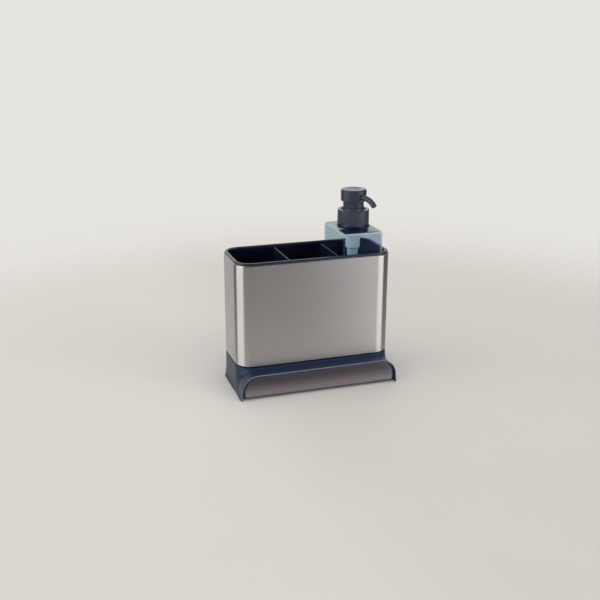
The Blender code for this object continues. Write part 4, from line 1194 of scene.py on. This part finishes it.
low, high = ring_low.z / MM, ring_high.z / MM
turned("bottle_ring", [(19.2, low), (23.6, low), (23.6, high), (19.2, high)], 1.0, PITCH,
       "dispenser", "pump_plastic", "neck_ring")
low, high = collar_low.z / MM, collar_high.z / MM
turned("screw_collar", [(20.2, low), (22.9, low), (22.6, high - 1.8), (18.6, high - 1.8),
                        (17.4, high - 2.8), (16.5, high - 2.8), (16.5, high), (15.4, high),
                        (15.4, 244.2), (20.2, 244.2)], 0.8, SLATE,
       "collar", "pump_plastic", "closure_collar")
turned("gasket", [(17.1, 240.9), (18.7, 240.9), (18.7, 242.1), (17.1, 242.1)], 0.3, RUBBER,
       "pump", "gasket_rubber", "neck_gasket", 64)


# %% [markdown]
# ### The pump inside
# Through the bottle you see a milky cylinder in two steps with a tube below it. The
# housing holds an air cylinder and, under the step, a liquid cylinder. A piston, a
# stem, a spring and a valve ball work in it. All are turned parts, except the spring.

# %% Housing and dip tube
turned("pump_cylinder", [(18.9, 243.9), (18.9, 242.4), (16.5, 242.4), (16.5, 233.6),
                         (15.3, 232.6), (11.4, 232.6), (10.4, 231.1), (10.4, 192.5), (8.9, 191.0),
                         (7.8, 191.0), (7.5, 152.0), (3.6, 149.0), (3.6, 143.0), (2.6, 143.0),
                         (2.6, 148.6), (1.5, 148.6), (1.5, 151.6), (2.8, 153.5), (2.8, 157.4),
                         (6.8, 157.4), (6.8, 192.0), (9.4, 192.0), (9.4, 233.6), (15.5, 234.2),
                         (15.5, 243.9)], 0.35, MILK, "pump", "pump_milk", "pump_housing", 72)
low, high = (corner.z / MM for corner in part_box("dip_tube"))
turned("dip_tube_clear", [(1.5, low), (2.3, low), (2.3, high), (1.5, high)], 0.3, MILK,
       "pump", "pump_milk", "dip_tube", 40)

# %% Pistons, stem, foam screens and ball
for name, node, body in (("stem", "pump_stem", "stem"), ("air_cup", "air_piston", "stem"),
                         ("foam_screens", "foam_mesh", "head")):
    place(name, eased(node, 0.2 * MM, 2), MILK, body, "pump_milk", node)
ball_low, ball_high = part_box("valve_ball")
ball = arc(0, (ball_low.z + ball_high.z) / 2, (ball_high.z - ball_low.z) / 2, -90, 90, 16)
ball[0], ball[-1] = (0.0, ball[0][1]), (0.0, ball[-1][1])
place("ball", as_mesh("ball", lathed(ball, 32, False)), BRIGHT, "ball", "spring_steel",
      "valve_ball")

# %% [markdown]
# ### The return spring
# A wire that follows a helix is a rule, so a recipe makes it: points on a line are
# moved onto the helix by sums on their index, then a small circle is swept along. The
# turns stand a little closer at both ends. When the head is pressed the spring
# shortens; here it gets a mesh of its own.

# %% Recipe: a coil spring
coil = Recipe("coil_spring", points=220, turns=8.0, radius=0.004, height=0.018, wire=0.0004,
              middle=(0.0, 0.0, 0.0))
CLOSING = 0.03
points, index = coil.line(coil.size("points"))
share = index / (coil.size("points") - 1)
angle = share * coil.size("turns") * FULL_TURN
climb = share - (share * FULL_TURN).math("SINE") * CLOSING
helix = coil.moved(points, angle.math("COSINE") * coil.size("radius"),
                   angle.math("SINE") * coil.size("radius"), climb * coil.size("height"))
wire_round = coil.geo("CurvePrimitiveCircle", {"Resolution": 10, "Radius": coil.size("wire")},
                      {"mode": "RADIUS"})
coil.close(coil.geo("CurveToMesh", {
    "Curve": coil.geo("MeshToCurve", {0: helix}), "Profile Curve": wire_round,
    "Fill Caps": True}))
spring_low, spring_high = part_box("return_spring")
wire, stroke, rest_length = 0.4 * MM, 10 * MM, spring_high.z - spring_low.z
spring_mesh = coil.run("spring", NOTHING, BRIGHT, points=240, turns=8.0, radius=4.1 * MM,
                       wire=wire, height=rest_length - 2 * wire,
                       middle=(AXIS.x, AXIS.y, spring_low.z + wire))
spring = place("spring", spring_mesh, BRIGHT, "pump", "spring_steel", "return_spring")
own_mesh(spring)

# %% [markdown]
# ### The press head
# The head is a dished cap over a plunger that slides in the collar. A bent spout leaves
# its front. The cap is turned; the spout is a tube along one curve, made of rings that
# stand square to the curve, with a rounded lip and a real bore.

# %% Cap and plunger
low, high = 261.6, head_high.z / MM + 1.0
skirt, brow = 3.3, 3.2
section = [(3.9, 250.5), (5.4, 250.5), (5.4, high - skirt), (13.2, high - skirt),
           (13.2, 246.0), (15.0, 246.0), (15.0, low + 1.2), (16.9, low + 1.2), (17.3, low),
           (18.7, low)]
cap = smoothed(mm(section), 0.4 * MM, 3)[4:]
cap += arc(15.5 * MM, (high - brow) * MM, brow * MM, 0, 90, 10)
dish = [(10.8, 0.0), (10.4, 0.06), (10.0, 0.22), (9.4, 0.4), (8.4, 0.58), (6.8, 0.78),
        (4.6, 0.92), (2.4, 0.98), (0.0, 1.0)]
cap += mm([(radius, high - depth) for radius, depth in dish] + [(0.0, 268.8), (3.9, 268.8)])
poles = [i for i, (radius, _) in enumerate(cap) if radius == 0.0]
cap = cap[poles[1]:] + cap[:poles[0] + 1]
cap_shape = lathed(cap, 96, False)
print("cap and plunger:", len(cap_shape.faces), "faces")

# %% Spout
AZIMUTH = math.radians(-68.0)
outward = Vector((math.cos(AZIMUTH), math.sin(AZIMUTH), 0))
sideways = Vector((-math.sin(AZIMUTH), math.cos(AZIMUTH), 0))
route = [AXIS + outward * r + upward(z) for r, z in
         mm([(13.0, 266.7), (28.2, 268.9), (36.5, 264.9), (42.7, 257.9)])]


def spout_ring(t, radius, push=0.0, count=40):
    """A circle of points, square to the route at a share t of its length."""
    ahead = (along(route, min(t + 0.01, 1.0)) - along(route, max(t - 0.01, 0.0))).normalized()
    up = ahead.cross(sideways)
    here = along(route, t) + ahead * push
    return [here + sideways * u + up * v for u, v in arc(0, 0, radius, 0, 360, count)[:-1]]


root, tip, bore, lip, steps = 4.2 * MM, 3.8 * MM, 1.8 * MM, 0.5 * MM, 28
tube_rings = [spout_ring(i / steps, root + (tip - root) * i / steps) for i in range(steps)]
tube_rings += [spout_ring(1.0, tip - lip + r, z) for r, z in arc(0, -lip, lip, 0, 90, 4)]
tube_rings += [spout_ring(1.0, bore + lip - r, z) for r, z in arc(0, -lip, lip, 90, 0, 4)]
tube_rings += [spout_ring(i / steps, bore) for i in reversed(range(steps))]
place("press_head", as_mesh("press_head", cap_shape, skinned(tube_rings, looped=True), sharp=50),
      HEAD_SLATE, "head", "pump_plastic", "actuator_head")

# %% [markdown]
# ## The studio
# The floor is a plain pale sheet that fades into the pale surroundings. The light is a
# soft tent: a world whose brightness changes with direction. What falls on matt
# surfaces is one soft gradient, brightest from above and the front left. What shows in
# shiny ones is a ring of lit and dark windows, and they give the upright bright and
# dark strips on the steel's corners. The camera sees a plain pale backdrop instead,
# also through the bottle. One lamp at the front right adds a soft shadow.

# %% Floor
reach = 9
floor_mesh = bpy.data.meshes.new("floor")
floor_mesh.from_pydata([(-reach, -reach, 0), (reach, -reach, 0), (reach, reach, 0),
                        (-reach, reach, 0)], [], [(0, 1, 2, 3)])
counter = Finish("pale_counter")
grain = counter.noise((9, 9, 9), 4.0, 0.6)
distance = ((counter.x ** 2) + (counter.y ** 2)) ** 0.5
# Painted light: the counter is lighter to the left of the caddy, lifting the shade there.
painted_light_left = (-counter.x).between(-0.02, 0.16)
counter.colour(grain * 0.4 + painted_light_left * 0.6, (0.62, 0.597, 0.557), (0.70, 0.675, 0.635))
counter.vary("Roughness", (grain - 0.5) * 0.1 + 0.55)
away = counter.node("ShaderNodeBsdfTransparent")
mirrored = Value(counter, counter.node("ShaderNodeLightPath").outputs["Is Glossy Ray"])
# Shiny pieces mirror less of the counter where it is farther from them.
fading = distance.between(0.55, 1.15)
half_mirrored = mirrored * distance.between(0.12, 0.34) * 0.45
counter.either(fading.math("MAXIMUM", half_mirrored), counter.shader, away)
floor_mesh.materials.append(counter.material)
counter_top = shown("counter_top", floor_mesh)
counter_top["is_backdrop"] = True
print("floor is", tuple(round(v, 1) for v in counter_top.dimensions[:2]), "m")

# %% World light
world = bpy.data.worlds.new("studio")
bpy.context.scene.world = world
world.use_nodes = True
tent = Wiring(world.node_tree)
east, north, up = tent.split(tent.node("ShaderNodeTexCoord").outputs["Generated"])
bearing = east.math("ARCTAN2", -north) / FULL_TURN + 0.5


def windows(*stops):
    """A ring of light from (bearing in degrees, brightness); the brightest are warm."""
    ramp = []
    for degrees, brightness in stops:
        tint = (1.0, 0.98, 0.95) if brightness > 1.5 else (1.0, 1.0, 1.0)
        ramp.append(((degrees + 180) / 360, [brightness * share for share in tint]))
    return tent.node("ShaderNodeValToRGB", {"stops": ramp}, {0: bearing}).outputs[0]


low_ring = windows(
    (-180, 0.62), (-152, 0.62), (-146, 0.06), (-119, 0.06), (-116, 1.95), (-65, 1.95),
    (-61, 0.46), (0, 0.40), (17, 0.46), (21, 0.70), (24, 1.15), (32, 2.2), (65, 2.7),
    (75, 0.07), (140, 0.07), (150, 0.75), (180, 0.75))
high_ring = windows(
    (-180, 1.2), (-170, 2.0), (-160, 2.0), (-148, 0.3), (-119, 0.3), (-116, 2.7), (-65, 2.7),
    (-61, 0.28), (20, 0.25), (32, 1.2), (62, 1.2), (66, 0.3), (130, 0.4), (145, 1.2),
    (180, 1.2))
ring = tent.blend(up.between(0.22, 0.34), low_ring, high_ring)
sky = tent.blend(up.between(0.70, 0.92), ring, (0.30, 0.30, 0.32))
soft = (up * 0.8 - north * 0.55 - east * 0.22).between(-0.1, 1.0) * 1.24 + 0.14
shade = tent.node("ShaderNodeCombineColor", sockets={0: soft, 1: soft, 2: soft}).outputs[0]
ray = tent.node("ShaderNodeLightPath").outputs
fallen = tent.blend(ray["Is Diffuse Ray"], sky, shade)
plain_view = Value(tent, ray["Is Camera Ray"]).math("MAXIMUM", ray["Is Transmission Ray"])
background = world.node_tree.nodes["Background"]
tent.join(background.inputs["Color"], tent.blend(plain_view, fallen, (0.79, 0.775, 0.74)))
background.inputs["Strength"].default_value = 1.0
print("world nodes:", len(world.node_tree.nodes))

# %% Key lamp
BEARING, DISTANCE, HEIGHT, AIM = math.radians(48), 3.0, 1.9, 0.1
panel = bpy.data.lights.new("key_panel", "AREA")
panel.shape, panel.size, panel.size_y, panel.energy = "RECTANGLE", 0.5, 0.4, 8
key = shown("key_panel", panel)
key.location = (DISTANCE * math.sin(BEARING), -DISTANCE * math.cos(BEARING), HEIGHT)
key.rotation_euler = (Vector((0, 0, AIM)) - key.location).to_track_quat("-Z", "Z").to_euler()
print("key lamp:", panel.energy, "W")

# %% [markdown]
# ## The camera
# The camera was solved from the caddy's straight edges in the photograph: where it
# stands, how it is turned and how long its lens is.

# %% Camera
yaw, pitch, roll = math.radians(18.28), math.radians(18.19), 0.0025
ahead = Vector((math.sin(yaw) * math.cos(pitch), math.cos(yaw) * math.cos(pitch),
                -math.sin(pitch)))
level_right = Vector((math.cos(yaw), -math.sin(yaw), 0))
straight_up = level_right.cross(ahead)
right = level_right * math.cos(roll) + straight_up * math.sin(roll)
up_way = straight_up * math.cos(roll) - level_right * math.sin(roll)
lens = bpy.data.cameras.new("camera")
lens.lens, lens.sensor_width, lens.sensor_fit = 54.46, 36.0, "AUTO"
lens.clip_start = 0.01
camera = shown("camera", lens)
stands_at = Matrix.Translation((-0.40405, -1.1866, 0.5315))
camera.matrix_world = stands_at @ Matrix((right, up_way, -ahead)).transposed().to_4x4()
bpy.context.scene.camera = camera
bpy.context.scene.view_settings.view_transform = "Standard"
print("camera stands", round(camera.location.length, 2), "m from the origin")

# %% [markdown]
# ## The dressed model's box
# The dressed model must fill the same box as the imported one; here its box is measured.

# %% Measure the dressed model's box
low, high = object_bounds()
